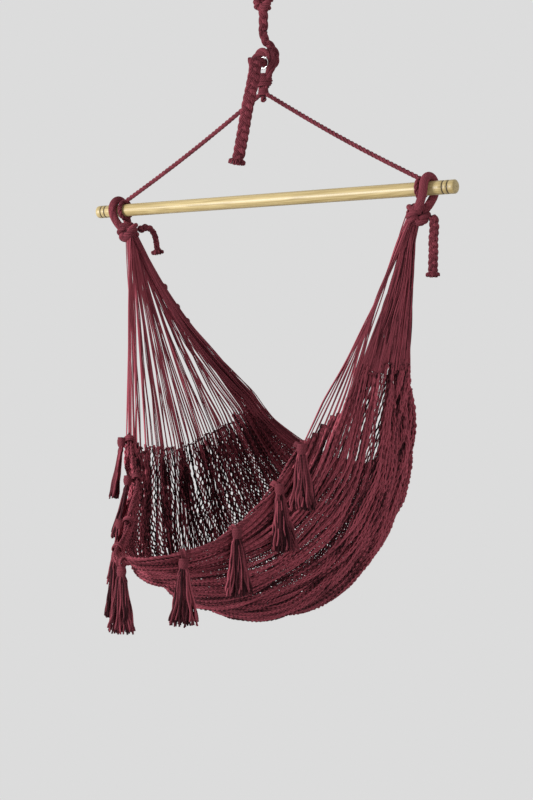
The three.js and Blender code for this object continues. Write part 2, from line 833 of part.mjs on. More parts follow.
// The saddle over the edge cord flares, so that the cord's bend clears it as the tassel swings.
function tasselHead({ tied, along, head }) {
  const [radius, neck, half] = [tasselHeadDiameter / 2, tasselNeckDiameter / 2, tasselHeadHeight / 2];
  const profile = [
    [0, -half],
    [neck, -half],
    [neck * 0.95, -half * 0.4],
    [radius, half * 0.1],
    [radius * 0.8, half * 0.75],
    [0, half],
  ];
  const geometry = new THREE.LatheGeometry(
    profile.map(([r, h]) => new THREE.Vector2(r, h)),
    10,
  );
  geometry.rotateX(Math.PI / 2).translate(head.x, head.y, head.z);
  const side = along.clone().cross(up).normalize();
  const rings = [-1, 0, 1].map((way) => {
    const centre = tied.clone().addScaledVector(along, way * tasselHeadDiameter);
    const opened = frontCordDiameter / 2 + 2.3 * clearance + Math.abs(way) * saddleFlare;
    return circleOf(centre, side, along.clone().cross(side), opened, 16);
  });
  return solid(geometry).subtract(solid(loft(rings)));
}

function tasselSkirt({ out, head, lean, tilt }) {
  const points = 16;
  const thin = lean > 0.4 ? 0.42 : 0.7;
  const side = at(-out.y, out.x, 0);
  const top = head.z - tasselHeadHeight / 2 - clearance;
  const levels = [
    [0, tasselNeckDiameter],
    [0.4, tasselSkirtDiameter * 0.6],
    [1, tasselSkirtDiameter],
  ];
  const rings = levels.map(([share, diameter]) =>
    Array.from({ length: points }, (_, j) => {
      const angle = (2 * Math.PI * j) / points;
      const radius = diameter / 2 - (j % 2) * tasselFluteDepth * share;
      const drop = share * tasselSkirtLength;
      return at(head.x, head.y, top - drop)
        .addScaledVector(side, radius * Math.cos(angle))
        .addScaledVector(out, radius * thin * Math.sin(angle) + drop * Math.tan(tilt));
    }),
  );
  return loft(rings);
}

// Assembly

function addHanger(group) {
  addPart(group, "hang_loop", shape(hangLoop()), cotton);
  addPart(group, "top_knot", shape(topKnot()), cottonDark);
  addPart(group, "hanging_rope", shape(hangingRope()), cotton);
  addPart(group, "hitch", shape(hitch()), cotton);
  const route = routeOf(tailRoute, at(0, 0, ringCentre));
  addPart(group, "rope_tail", shape(hangingCord(route, tailDiameter)), cotton);
  const end = ropeEnd(route, tailEndDiameter, tailEndHeight);
  addPart(group, "rope_tail_end", end, cottonDark);
}

function addBridle(group) {
  addPart(group, "eye_ring", eyeRing(), steel);
  addPart(group, "eye_wrap", eyeWrap(), cottonDark);
  addPart(group, "apex_whipping", whipping(), cottonDark);
  addPart(group, "wrap_knob", wrapKnob(), cottonDark);
  for (const [name, side] of sides) {
    addPart(group, `bridle_leg_${name}`, shape(bridleLeg(side)), cotton);
    addPart(group, `bar_hitch_${name}`, barHitch(side), cotton);
  }
}

function addArm(group, name, side, tailRows) {
  const route = routeOf(tailRows, armKnotCentre(side));
  const tail = hangingCord(route, armTailDiameter);
  addPart(group, `arm_loop_${name}`, shape(armLoop(side)), cotton);
  addPart(group, `arm_knot_${name}`, shape(armKnotTrimmed(side, route[0])), cottonDark);
  addPart(group, `arm_tail_${name}`, shape(tail), cotton);
  const end = ropeEnd(route, armTailEndDiameter, armTailEndHeight);
  addPart(group, `arm_tail_end_${name}`, end, cottonDark);
}

function addSeat(group) {
  addArm(group, "left", -1, leftTailRoute);
  addArm(group, "right", 1, rightTailRoute);
  for (const [name, side] of sides) {
    for (const third of Object.keys(thirds)) {
      addPart(group, `strings_${name}_${third}`, shape(stringGroup(side, third)), cotton);
    }
  }
  addPart(group, "seat_net", shape(seatNet()), cotton);
  addPart(group, "front_edge_cord", frontCord(), cottonDark);
  addPart(group, "back_edge_cord", shape(belowArmKnot(solid(backCord()))), cotton);
  for (let number = 1; number <= 2 * tasselShares.length - 1; number++) {
    const place = tasselPlace(number);
    addPart(group, `tassel_head_${number}`, shape(tasselHead(place)), cottonDark);
    addPart(group, `tassel_skirt_${number}`, tasselSkirt(place), cotton);
  }
}

const sides = [
  ["left", -1],
  ["right", 1],
];

const chair = new THREE.Group();
const seat = new THREE.Group();
seat.position.z = barHeight;
addHanger(chair);
addBridle(chair);
addPart(chair, "spreader_bar", spreaderBar(), wood);
addSeat(seat);
chair.add(seat);

export default chair;
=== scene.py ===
"""A hanging net chair: plaited ropes, an eye and ring, a turned bar, fans of strings and a netted seat.

Metres, Z up. X runs along the bar, the sitter faces minus Y, and the origin is the loop's inside top.
"""

import bpy
import numpy as np
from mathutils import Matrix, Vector


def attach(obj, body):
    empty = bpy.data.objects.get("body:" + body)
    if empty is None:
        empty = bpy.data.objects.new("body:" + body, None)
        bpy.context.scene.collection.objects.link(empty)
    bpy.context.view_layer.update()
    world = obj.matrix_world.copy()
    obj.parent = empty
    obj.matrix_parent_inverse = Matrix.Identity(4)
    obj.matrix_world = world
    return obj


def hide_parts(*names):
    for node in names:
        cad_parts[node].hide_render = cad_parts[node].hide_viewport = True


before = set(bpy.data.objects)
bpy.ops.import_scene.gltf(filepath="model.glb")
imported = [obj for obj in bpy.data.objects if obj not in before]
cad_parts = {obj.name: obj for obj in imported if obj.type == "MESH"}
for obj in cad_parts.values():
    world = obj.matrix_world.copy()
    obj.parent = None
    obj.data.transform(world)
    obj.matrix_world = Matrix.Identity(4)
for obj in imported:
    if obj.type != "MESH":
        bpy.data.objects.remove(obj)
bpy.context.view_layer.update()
TAU = 2 * np.pi
UP = np.array([0.0, 0.0, 1.0])
rng = np.random.default_rng(7)
SIDES = (("left", -1), ("right", 1))

# Camera at the photograph's angle. The aim is in its pixels: right of the rope, and below level

BAR_Z = -0.55675
RING_Z = -0.24575
VIEW_TURN = np.radians(36)
VIEW_DISTANCE = 3.651
VIEW_BELOW_BAR = 0.363
FOCAL_PIXELS = 1601.0
PHOTO_HEIGHT = 800
SENSOR = 36
AIM_RIGHT, AIM_DOWN = 3.1, 40
RIGHT = np.array([np.cos(VIEW_TURN), np.sin(VIEW_TURN), 0])


def facing(place, target):
    """The turn of a camera or a lamp at one place that faces another."""
    return Vector(np.subtract(target, place)).to_track_quat("-Z", "Y").to_euler()


def make_camera():
    toward = np.array([np.sin(VIEW_TURN), -np.cos(VIEW_TURN), 0])
    place = toward * VIEW_DISTANCE + UP * (BAR_Z - VIEW_BELOW_BAR)
    target = RIGHT * (AIM_RIGHT / FOCAL_PIXELS * VIEW_DISTANCE)
    target = target + UP * (place[2] - AIM_DOWN / FOCAL_PIXELS * VIEW_DISTANCE)
    data = bpy.data.cameras.new("camera")
    data.lens = FOCAL_PIXELS / PHOTO_HEIGHT * SENSOR
    data.sensor_width = SENSOR
    camera = bpy.data.objects.new("camera", data)
    bpy.context.scene.collection.objects.link(camera)
    camera.location = place
    camera.rotation_euler = facing(place, target)
    bpy.context.scene.camera = camera


make_camera()

# Curves and frames

SPAN_POINTS = 24


def distances(points):
    """The distance along a path from its first point to each of its points. Paths may be stacked."""
    steps = np.linalg.norm(np.diff(points, axis=-2), axis=-1)
    return np.concatenate([np.zeros((*steps.shape[:-1], 1)), np.cumsum(steps, axis=-1)], axis=-1)


def length_of(line):
    return float(distances(line)[-1])


def run_along(line, round_it=False):
    """The distance along a line to each of its points, and its whole length."""
    run = distances(np.vstack([line, line[:1]]))
    return run[:-1], run[-1] if round_it else run[-2]


def spaced(line, count):
    """The same line with that many points at even distances."""
    along = distances(line)
    at = np.linspace(0, along[-1], count)
    return np.stack([np.interp(at, along, line[:, k]) for k in range(3)], axis=1)


def catmull(points, count):
    """Points along a centripetal curve through the points, evenly spaced."""
    p = np.array(points, float)
    p = np.vstack([2 * p[0] - p[1], p, 2 * p[-1] - p[-2]])
    out = []
    for a, b, c, d in zip(p[:-3], p[1:-2], p[2:-1], p[3:]):
        t1 = np.linalg.norm(b - a) ** 0.5
        t2 = t1 + np.linalg.norm(c - b) ** 0.5
        t3 = t2 + np.linalg.norm(d - c) ** 0.5
        t = np.linspace(t1, t2, SPAN_POINTS, endpoint=False)[:, None]
        ab = (t1 - t) / t1 * a + t / t1 * b
        bc = (t2 - t) / (t2 - t1) * b + (t - t1) / (t2 - t1) * c
        cd = (t3 - t) / (t3 - t2) * c + (t - t2) / (t3 - t2) * d
        abc = (t2 - t) / t2 * ab + t / t2 * bc
        bcd = (t3 - t) / (t3 - t1) * bc + (t - t1) / (t3 - t1) * cd
        out.append((t2 - t) / (t2 - t1) * abc + (t - t1) / (t2 - t1) * bcd)
    out.append(p[-2][None])
    return spaced(np.vstack(out), count)


def smooth(low, high, value):
    """Rises from 0 to 1 between low and high, level at both."""
    t = np.clip((value - low) / (high - low), 0, 1)
    return t * t * (3 - 2 * t)


def unit(v):
    return v / np.maximum(np.linalg.norm(v, axis=-1, keepdims=True), 1e-12)


def square_to(along, side):
    """The side direction turned square to the way along."""
    return unit(side - (side * along).sum(-1, keepdims=True) * along)


def tangents(paths, round_it=False):
    if round_it:
        return unit(np.roll(paths, -1, axis=1) - np.roll(paths, 1, axis=1))
    return unit(np.gradient(paths, axis=1))


def carried_sides(along, start=None):
    """A side direction for each point, carried along each path without twist."""
    sides = np.empty_like(along)
    side = np.where(np.abs(along[:, 0, 2:3]) < 0.9, UP, np.array([1.0, 0, 0]))
    if start is not None:
        side = np.broadcast_to(np.array(start, float), side.shape)
    for i in range(along.shape[1]):
        side = square_to(along[:, i], side)
        sides[:, i] = side
    return sides


def carried_frame(line, start):
    """Side and across directions at each point of one line, carried along it."""
    along = tangents(line[None])
    side = carried_sides(along, start)[0]
    return side, np.cross(along[0], side)


def given_frame(line, side, round_it=False):
    """Side and across directions at each point of one line, nearest to the side given."""
    along = tangents(line[None], round_it)[0]
    side = square_to(along, side)
    return side, np.cross(along, side)


def untwisted(side, across, along):
    """Turns a closed path's sides a little at each point, so that its last ring meets its first."""
    last = square_to(along[:, 0], side[:, -1])
    turn = np.arctan2((last * across[:, 0]).sum(1), (last * side[:, 0]).sum(1))
    share = np.arange(side.shape[1]) / side.shape[1]
    angle = -(turn[:, None] * share)[..., None]
    return np.cos(angle) * side + np.sin(angle) * across, np.cos(angle) * across - np.sin(angle) * side


def stacked(*parts):
    """The parts side by side along a new last axis, spread to one shape."""
    return np.stack(np.broadcast_arrays(*parts), -1)


UV_PER_METRE = 100


class Yarns:
    """Gathers tubes of many strands into one mesh with a length-wise UV and a tone for each strand."""

    def __init__(self):
        self.points, self.tones, self.loops, self.uvs, self.starts, self.totals = [], [], [], [], [], []
        self.count, self.loop_count = 0, 0

    def add_faces(self, corners, uv=None):
        """Adds faces of one size, each a row of point numbers."""
        faces, size = corners.shape
        self.loops.append(corners.reshape(-1))
        self.uvs.append(np.zeros((faces * size, 2)) if uv is None else uv.reshape(-1, 2))
        self.starts.append(self.loop_count + np.arange(faces) * size)
        self.totals.append(np.full(faces, size))
        self.loop_count += faces * size

    def add(self, paths, radius, sides=6, side=None, tone=None, flat=1.0, round_it=False, start=None):
        """Adds a tube along each path. flat is its thickness for a width of 1, round_it closes it."""
        paths = np.array(paths, float)
        if paths.ndim == 2:
            paths = paths[None]
        strands, n = paths.shape[:2]
        radius = np.broadcast_to(np.asarray(radius, float), (strands, n))
        along = tangents(paths, round_it)
        if side is None:
            side = carried_sides(along, start)
        else:
            side = square_to(along, np.broadcast_to(side, paths.shape))
        across = np.cross(along, side)
        if round_it:
            side, across = untwisted(side, across, along)
        angle = (TAU * np.arange(sides) / sides)[:, None]
        ring = np.cos(angle) * side[:, :, None] + flat * np.sin(angle) * across[:, :, None]
        points = paths[:, :, None] + radius[:, :, None, None] * ring
        base = self.count + np.arange(strands)[:, None, None] * (n * sides)
        spans = n if round_it else n - 1
        i, j = np.arange(spans)[None, :, None], np.arange(sides)[None, None, :]
        here, there, k = base + i * sides, base + (i + 1) % n * sides, (j + 1) % sides
        quads = stacked(here + j, here + k, there + k, there + j)
        run = distances(np.concatenate([paths, paths[:, :1]], axis=1)) * UV_PER_METRE
        u0, u1 = run[:, :spans, None], run[:, 1 : spans + 1, None]
        v0, v1 = j / sides, (j + 1) / sides
        corners = [stacked(u, v) for u, v in ((u0, v0), (u0, v1), (u1, v1), (u1, v0))]
        self.add_faces(quads.reshape(-1, 4), np.stack(corners, -2))
        if not round_it:
            for row, order in ((0, slice(None, None, -1)), (n - 1, slice(None))):
                ends = base[:, 0] + row * sides + np.arange(sides)[order]
                self.add_faces(ends.reshape(-1, sides))
        self.points.append(points.reshape(-1, 3))
        tone = rng.uniform(0.25, 0.75, strands) if tone is None else np.asarray(tone, float)
        if tone.ndim < 2:
            tone = np.broadcast_to(tone, strands)[:, None]
        self.tones.append(np.repeat(np.broadcast_to(tone, (strands, n)).reshape(-1), sides))
        self.count += strands * n * sides
        return self

    def build(self, name, body, material, nodes, slot):
        """Makes the mesh. It rides on the body, in place of the CAD nodes. slot is not used."""
        mesh = bpy.data.meshes.new(name)
        points, loops, starts = (np.concatenate(v) for v in (self.points, self.loops, self.starts))
        mesh.vertices.add(len(points))
        mesh.loops.add(len(loops))
        mesh.polygons.add(len(starts))
        mesh.vertices.foreach_set("co", points.astype(np.float32).ravel())
        mesh.loops.foreach_set("vertex_index", loops.astype(np.int32))
        mesh.polygons.foreach_set("loop_start", starts.astype(np.int32))
        mesh.polygons.foreach_set("loop_total", np.concatenate(self.totals).astype(np.int32))
        mesh.polygons.foreach_set("use_smooth", np.ones(len(starts), bool))
        layer = mesh.uv_layers.new(name="run")
        layer.data.foreach_set("uv", np.concatenate(self.uvs).astype(np.float32).ravel())
        tone = mesh.attributes.new("tone", "FLOAT", "POINT")
        tone.data.foreach_set("value", np.concatenate(self.tones).astype(np.float32))
        mesh.update(calc_edges=True)
        mesh.materials.append(material)
        obj = bpy.data.objects.new(name, mesh)
        bpy.context.scene.collection.objects.link(obj)
        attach(obj, body)
        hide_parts(*nodes)
        return obj


# Materials


def node(tree, kind, inputs=None, **settings):
    """A shader node. An input, by name or number, takes a value or the output of another node."""
    made = tree.nodes.new("ShaderNode" + kind)
    for name, value in settings.items():
        setattr(made, name, value)
    for key, value in (inputs or {}).items():
        give(tree, made.inputs[key], value)
    return made


def give(tree, socket, value):
    """Sets a socket's value, or links an output to it."""
    if isinstance(value, bpy.types.NodeSocket):
        tree.links.new(value, socket)
    else:
        socket.default_value = value


def maths(tree, operation, *values, **settings):
    return node(tree, "Math", dict(enumerate(values)), operation=operation, **settings).outputs[0]


def noise(tree, where, scale, detail, **more):
    inputs = {"Vector": where, "Scale": scale, "Detail": detail, **more}
    return node(tree, "TexNoise", inputs).outputs["Fac"]


def stretched(tree, where, scale, **more):
    return node(tree, "Mapping", {"Vector": where, "Scale": scale, **more}).outputs["Vector"]


def object_place(tree):
    return node(tree, "TexCoord").outputs["Object"]


def strand_tone(tree):
    return node(tree, "Attribute", attribute_name="tone").outputs["Fac"]


def mixed(tree, share, first, second):
    """The first colour where the share is 0 and the second where it is 1."""
    return node(tree, "Mix", {0: share, 6: first, 7: second}, data_type="RGBA").outputs[2]


def colour_ramp(tree, share, dark, light, low=0.0, high=1.0):
    """Dark up to the low share, light from the high one on, and the colours between them."""
    ramp = node(tree, "ValToRGB", {"Fac": share})
    for element, position, colour in zip(ramp.color_ramp.elements, (low, high), (dark, light)):
        element.position = position
        element.color = (*colour, 1)
    return ramp.outputs["Color"]


def new_material(name, values):
    """A material, its tree and its shader, with plain values on the shader's own sockets."""
    material = bpy.data.materials.new(name)
    material.use_nodes = True
    shader = material.node_tree.nodes["Principled BSDF"]
    for key, value in values.items():
        shader.inputs[key].default_value = value
    return material, material.node_tree, shader


def dress(tree, shader, colour, height, strength, depth):
    """Gives the shader its colour, and a bump of that height."""
    bump = node(tree, "Bump", {"Strength": strength, "Distance": depth, "Height": height})
    give(tree, shader.inputs["Base Color"], colour)
    give(tree, shader.inputs["Normal"], bump.outputs["Normal"])


COTTON = {
    "Roughness": 0.92,
    "Sheen Weight": 0.1,
    "Sheen Roughness": 0.5,
    "Sheen Tint": (0.75, 0.3, 0.36, 1),
    "Specular IOR Level": 0.12,
}


def yarn_material(name, dark, light, plies, twist, depth):
    """Cotton yarn: plies that wind along the strand, lighter on their crowns and darker between them as
    painted shade, a tone for each strand that also carries painted light and shade, and slubs and fading.
    """
    material, tree, shader = new_material(name, COTTON)
    uv = node(tree, "SeparateXYZ", {"Vector": node(tree, "UVMap", uv_map="run").outputs["UV"]}).outputs
    wind = maths(tree, "MULTIPLY_ADD", uv["Y"], plies, maths(tree, "MULTIPLY", uv["X"], twist))
    ridge = maths(tree, "ABSOLUTE", maths(tree, "SINE", maths(tree, "MULTIPLY", wind, TAU / 2)))
    where = object_place(tree)
    slubs, fading = noise(tree, where, 900, 3), noise(tree, where, 14, 4)
    tone = strand_tone(tree)
    # The ply ridges lighten the crowns and darken the grooves between the plies: painted shade.
    for source, weight in ((ridge, 0.35), (fading, 0.5), (slubs, 0.35)):
        tone = maths(tree, "MULTIPLY_ADD", source, weight, tone)
    share = node(tree, "MapRange", {"Value": tone, "From Min": 0.65, "From Max": 1.55}).outputs["Result"]
    height = maths(tree, "MULTIPLY_ADD", slubs, 0.3, ridge)
    dress(tree, shader, colour_ramp(tree, share, dark, light), height, 0.7, depth)
    return material


def wood_material():
    """Pale wood with its grain along the bar, burnt dark where the tone is 1."""
    values = {"Roughness": 0.42, "Coat Weight": 0.15, "Coat Roughness": 0.25}
    material, tree, shader = new_material("bar_wood", values)
    where = object_place(tree)
    broad = stretched(tree, where, (1.6, 38, 38), Rotation=(0, 0.006, 0.01))
    rings = maths(tree, "MULTIPLY", noise(tree, broad, 1.4, 5, Distortion=0.6), 46)
    fibre = noise(tree, stretched(tree, where, (14, 900, 900)), 1.0, 2)
    grain = maths(tree, "MULTIPLY_ADD", maths(tree, "SINE", rings), 0.16, fibre)
    pale = colour_ramp(tree, grain, (0.37, 0.27, 0.105), (0.66, 0.52, 0.25), 0.2, 0.8)
    colour = mixed(tree, strand_tone(tree), pale, (0.05, 0.03, 0.015, 1))
    dress(tree, shader, colour, fibre, 0.25, 0.0002)
    return material


def metal_material():
    """Plated steel with fine scuffs."""
    material, tree, shader = new_material("ring_steel", {"Metallic": 1, "Roughness": 0.18})
    scuffs = noise(tree, object_place(tree), 260, 5)
    colour = colour_ramp(tree, scuffs, (0.55, 0.55, 0.56), (0.85, 0.85, 0.86))
    dress(tree, shader, colour, scuffs, 0.15, 0.0002)
    return material


# DARK is deep enough for the painted shade that low tones put in crevices, between yarns and in cores.
DARK, LIGHT = (0.021, 0.004, 0.0062), (0.43, 0.092, 0.124)
WRAP_LIGHT = (0.34, 0.072, 0.097)
net_yarn = yarn_material("net_yarn", DARK, LIGHT, 2, 3.2, 0.0006)
rope_yarn = yarn_material("plaited_rope", DARK, LIGHT, 5, 1.1, 0.0009)
wrap_yarn = yarn_material("wrapped_cord", DARK, WRAP_LIGHT, 3, 2.2, 0.0007)
wood = wood_material()
steel = metal_material()

# Ropes. A width or height is a whole size. The sizes wide, deep, thick, neck and yarn are half sizes

# Cores under laid yarns, and the hubs of windings and knots, are near black: painted shade between the yarns.
CORE_SHADE_TONE = 0.1


def winds_in(total, pitch, round_it):
    """How many times something winds over a length: a whole number round a closed line."""
    return max(1, round(total / pitch)) if round_it else total / pitch


def between(values, share):
    """The value at a share of the way through an even list of values."""
    return np.interp(share, np.linspace(0, 1, len(values)), values)


def laid(yarns, line, side, wide, thick, yarn, pitch, round_it=False, tone=0.5):
    """Yarns laid side by side over an oval core, whose width lies along side."""
    line = np.asarray(line)
    side, across = given_frame(line, side, round_it)
    wide = np.broadcast_to(np.asarray(wide, float), len(line))
    thick = np.broadcast_to(np.asarray(thick, float), len(line))
    run, total = run_along(line, round_it)
    a, b = wide.max() - yarn, thick.max() - yarn
    around = np.pi * (3 * (a + b) - np.sqrt((3 * a + b) * (a + 3 * b)))
    count = max(5, int(round(around / (yarn * 1.85))))
    winds = winds_in(total, pitch, round_it)
    phase = TAU * (winds * run / total + np.arange(count)[:, None] / count)
    paths = line + ((wide - yarn) * np.cos(phase))[..., None] * side
    paths = paths + ((thick - yarn) * np.sin(phase))[..., None] * across
    yarns.add(paths, yarn, 5, tone=tone + rng.uniform(-0.16, 0.16, count), round_it=round_it)
    core = np.maximum(wide - yarn * 1.2, 0.0004)
    flat = (thick.mean() - yarn * 1.2) / core.mean()
    yarns.add(line, core, 8, side=side, flat=flat, tone=CORE_SHADE_TONE, round_it=round_it)
    return yarns


def plait(yarns, line, width, lobe, start, yarn=0.0013, begun=0.0):
    """Three strands plaited flat: each swings from edge to edge, over and under the others."""
    side, across = carried_frame(line, start)
    run, _ = run_along(line)
    half = width * 0.275
    deep = half * 0.72
    swing, rise = width / 2 - half, deep * 0.92
    for k in range(3):
        phase = TAU * ((run + begun) / (3 * lobe) + k / 3)
        path = line + side * (swing * np.sin(phase))[:, None] + across * (rise * np.sin(2 * phase))[:, None]
        laid(yarns, path, side, half, deep, yarn, lobe * 9, tone=0.5 + 0.05 * (k - 1))
    return yarns


def twist(yarns, line, side, radius, pitch, strands=3, yarn=0.0011, round_it=False, tone=0.5):
    """A laid rope: two or three strands of yarns that wind round the line, as wide as twice the radius."""
    side, across = given_frame(line, side, round_it)
    radius = np.broadcast_to(np.asarray(radius, float), len(line))
    strand = radius * {2: 0.54, 3: 0.48}[strands]
    run, total = run_along(line, round_it)
    winds = winds_in(total, pitch, round_it)
    for k in range(strands):
        phase = TAU * (winds * run / total + k / strands)
        out = np.cos(phase)[:, None] * side + np.sin(phase)[:, None] * across
        path = line + (radius - strand)[:, None] * out
        shade = tone + 0.04 * (k - 1)
        laid(yarns, path, out, strand, strand, yarn, pitch * 2.5, round_it=round_it, tone=shade)
    return yarns


def ring_line(centre, axis, radius, count):
    """A closed round line about an axis, and the way out from its centre at each point."""
    axis = unit(np.array(axis, float))
    side = unit(np.cross(axis, [0.31, 0.9, 0.13]))
    across = np.cross(axis, side)
    angle = (TAU * np.arange(count) / count)[:, None]
    out = np.cos(angle) * side + np.sin(angle) * across
    return np.array(centre) + radius * out, out


def winding(yarns, centre, axis, wide, deep, side, spacing, yarn, turns, tone=0.45):
    """Cord wound side by side over an oval waist. wide and deep are lists from one end to the other."""
    axis = unit(np.array(axis, float))
    side = square_to(axis, np.array(side, float))
    across = np.cross(axis, side)
    angle = np.linspace(0, TAU * turns, turns * 30 + 1)
    share = angle / angle[-1]
    a, b = between(wide, share) - yarn, between(deep, share) - yarn
    lift = (share - 0.5) * spacing * turns + 0.12 * spacing * np.sin(angle * 0.37)
    path = np.array(centre) + (a * np.cos(angle))[:, None] * side + (b * np.sin(angle))[:, None] * across
    yarns.add(path + lift[:, None] * axis, yarn, 8, tone=tone)
    at = np.linspace(0, 1, 12)
    core = (at - 0.5)[:, None] * spacing * turns * axis + np.array(centre)
    hub, hub_deep = between(wide, at) - 1.6 * yarn, between(deep, at) - 1.6 * yarn
    yarns.add(core, hub, 20, side=side, flat=hub_deep.mean() / hub.mean(), tone=CORE_SHADE_TONE)
    return yarns


def knotted(yarns, centre, width, height, rope, turned=0.0):
    """An overhand knot drawn tight: a trefoil of three-strand rope as wide and as high as given."""
    t = TAU * np.arange(170) / 170
    deep = width / 2 - rope
    reach = deep * 0.58 + deep * 0.42 * np.cos(3 * t)
    x, y = reach * np.cos(2 * t + turned), reach * np.sin(2 * t + turned)
    z = (height / 2 - rope) * np.sin(3 * t)
    line = np.stack([x, y, z], axis=1)
    out = unit(line + 1e-6)
    twist(yarns, line + np.array(centre), out, rope, rope * 4.4, yarn=0.0013, round_it=True)
    ball = np.linspace(-0.8, 0.8, 9)
    hub = np.sqrt(1 - ball**2) * width * 0.27
    yarns.add(np.array(centre) + ball[:, None] * UP * height * 0.4, hub, 14, tone=CORE_SHADE_TONE)
    return yarns


def flare(yarns, tip, along, side, neck, wide, deep, height):
    """The bound end of a rope: two turns of cord, and cut yarns that spread below them."""
    along = unit(np.array(along))
    side = square_to(along, np.array(side))
    across = np.cross(along, side)
    tie = tip + along * height * 0.22
    winding(yarns, tie, along, [neck, neck * 1.04], [neck * 0.85] * 2, side, 0.003, 0.0016, 2)
    share = np.linspace(0, 1, 9)
    spread = smooth(0, 0.5, share)
    for _ in range(90):
        angle, reach = rng.uniform(0, TAU), np.sqrt(rng.uniform(0.05, 1))
        ends = np.array([wide * np.cos(angle), deep * np.sin(angle)]) * reach
        roots = np.array([neck * 0.8 * np.cos(angle), neck * 0.7 * np.sin(angle)]) * reach
        lie = roots + spread[:, None] * (ends - roots)
        drop = height * (0.05 + 0.95 * share) * (1 - 0.15 * reach * spread) * rng.uniform(0.85, 1.1)
        path = tip + lie[:, :1] * side + lie[:, 1:] * across + drop[:, None] * along
        path = path + rng.normal(0, 0.0004, 3) * share[:, None]
        yarns.add(path, 0.0013, 5, start=side)
    return yarns


# Rope tails: the cords that hang free, each with its flared end

TAIL_STEP = 0.0016
TAIL_FLARE = {"neck": 0.0115, "wide": 0.0205, "deep": 0.013, "height": 0.017}
ARM_FLARE = {"neck": 0.0095, "wide": 0.0155, "deep": 0.011, "height": 0.013}
TAIL_ROUTE = [
    (0, -0.037, 0), (0.009, -0.045, -0.006), (0.016, -0.054, -0.024), (0.016, -0.062, -0.052),
    (0.012, -0.068, -0.084), (0.007, -0.073, -0.118), (0.002, -0.076, -0.152), (-0.004, -0.078, -0.186),
    (-0.011, -0.08, -0.222),
]
RIGHT_TAIL_ROUTE = [
    (0.438, 0.01, -0.61475), (0.438, 0.014, -0.63875), (0.434, 0.017, -0.66475),
    (0.434, 0.018, -0.68675), (0.433, 0.018, -0.70875), (0.433, 0.018, -0.73075),
]
LEFT_TAIL_ROUTE = [
    (-0.394, 0.029, -0.60475), (-0.391, 0.041, -0.59775), (-0.386, 0.054, -0.59675),
    (-0.382, 0.064, -0.60475), (-0.379, 0.07, -0.61675), (-0.378, 0.074, -0.63275),
    (-0.377, 0.076, -0.64875),
]


def make_tail(name, route, body, width, lobe, yarn):
    """A plaited tail on its body, in place of the CAD node of the same name, and the tail's line."""
    line = catmull(route, int(length_of(catmull(route, 60)) / TAIL_STEP))
    tail = plait(Yarns(), line, width, lobe, RIGHT, yarn=yarn)
    return tail.build(name, body, rope_yarn, [body], "plaited_rope"), line


def make_flare(name, line, body, cad_node, neck, wide, deep, height):
    end = flare(Yarns(), line[-1], line[-1] - line[-2], RIGHT, neck, wide, deep, height)
    return end.build(name, body, wrap_yarn, [cad_node], "wrapped_cord")


tail_route = [(x, y, z + RING_Z) for x, y, z in TAIL_ROUTE]
rope_tail, tail_line = make_tail("rope_tail_plait", tail_route, "rope_tail", 0.029, 0.0165, 0.0014)
tail_end = make_flare("rope_tail_flare", tail_line, "rope_tail", "rope_tail_end", **TAIL_FLARE)
arm_tail_right, right_line = make_tail(
    "arm_tail_plait_right", RIGHT_TAIL_ROUTE, "arm_tail_right", 0.022, 0.0135, 0.0012
)
right_end = make_flare(
    "arm_tail_flare_right", right_line, "arm_tail_right", "arm_tail_end_right", **ARM_FLARE
)
_, left_line = make_tail("arm_tail_plait_left", LEFT_TAIL_ROUTE, "arm_tail_left", 0.02, 0.013, 0.0012)
make_flare("arm_tail_flare_left", left_line, "arm_tail_left", "arm_tail_end_left", **ARM_FLARE)

# Hanging loop, top knot, rope and hitch

ROPE_WIDTH = 0.021
LOBE = 0.02
LOOP_HALF = 0.0295
EYE_RADIUS = 0.0251
EYE_ROPE_WIDTH = 0.02
CLEARANCE = 0.0003


def bent(half, low, high, count):
    """Points of an arc about the middle, in the plane of the bar, from the right end to the left."""
    return [(half * np.cos(t), 0, half * np.sin(t)) for t in np.linspace(low, high, count)]


def with_feet(arc, feet):
    """An arc between two rows of feet. The feet run away from the arc at the right."""
    return feet[::-1] + arc + [(-x, y, z) for x, y, z in feet]


def make_hanger():
    arc = [(x, y, ROPE_WIDTH / 2 - LOOP_HALF + z) for x, y, z in bent(LOOP_HALF, 0, np.pi, 9)]
    feet = [(LOOP_HALF * wide, 0, z) for wide, z in ((0.85, -0.0516), (0.5, -0.086), (0.4, -0.104))]
    loop = plait(Yarns(), catmull(with_feet(arc, feet), 170), ROPE_WIDTH, LOBE, [0, 0, 1])
    loop.build("hang_loop_plait", "hanger", rope_yarn, ["hang_loop"], "plaited_rope")
    knot = knotted(Yarns(), (0, 0, -0.108), 0.05, 0.044, 0.0092)
    knot.build("top_knot_turns", "hanger", rope_yarn, ["top_knot"], "wrapped_cord")


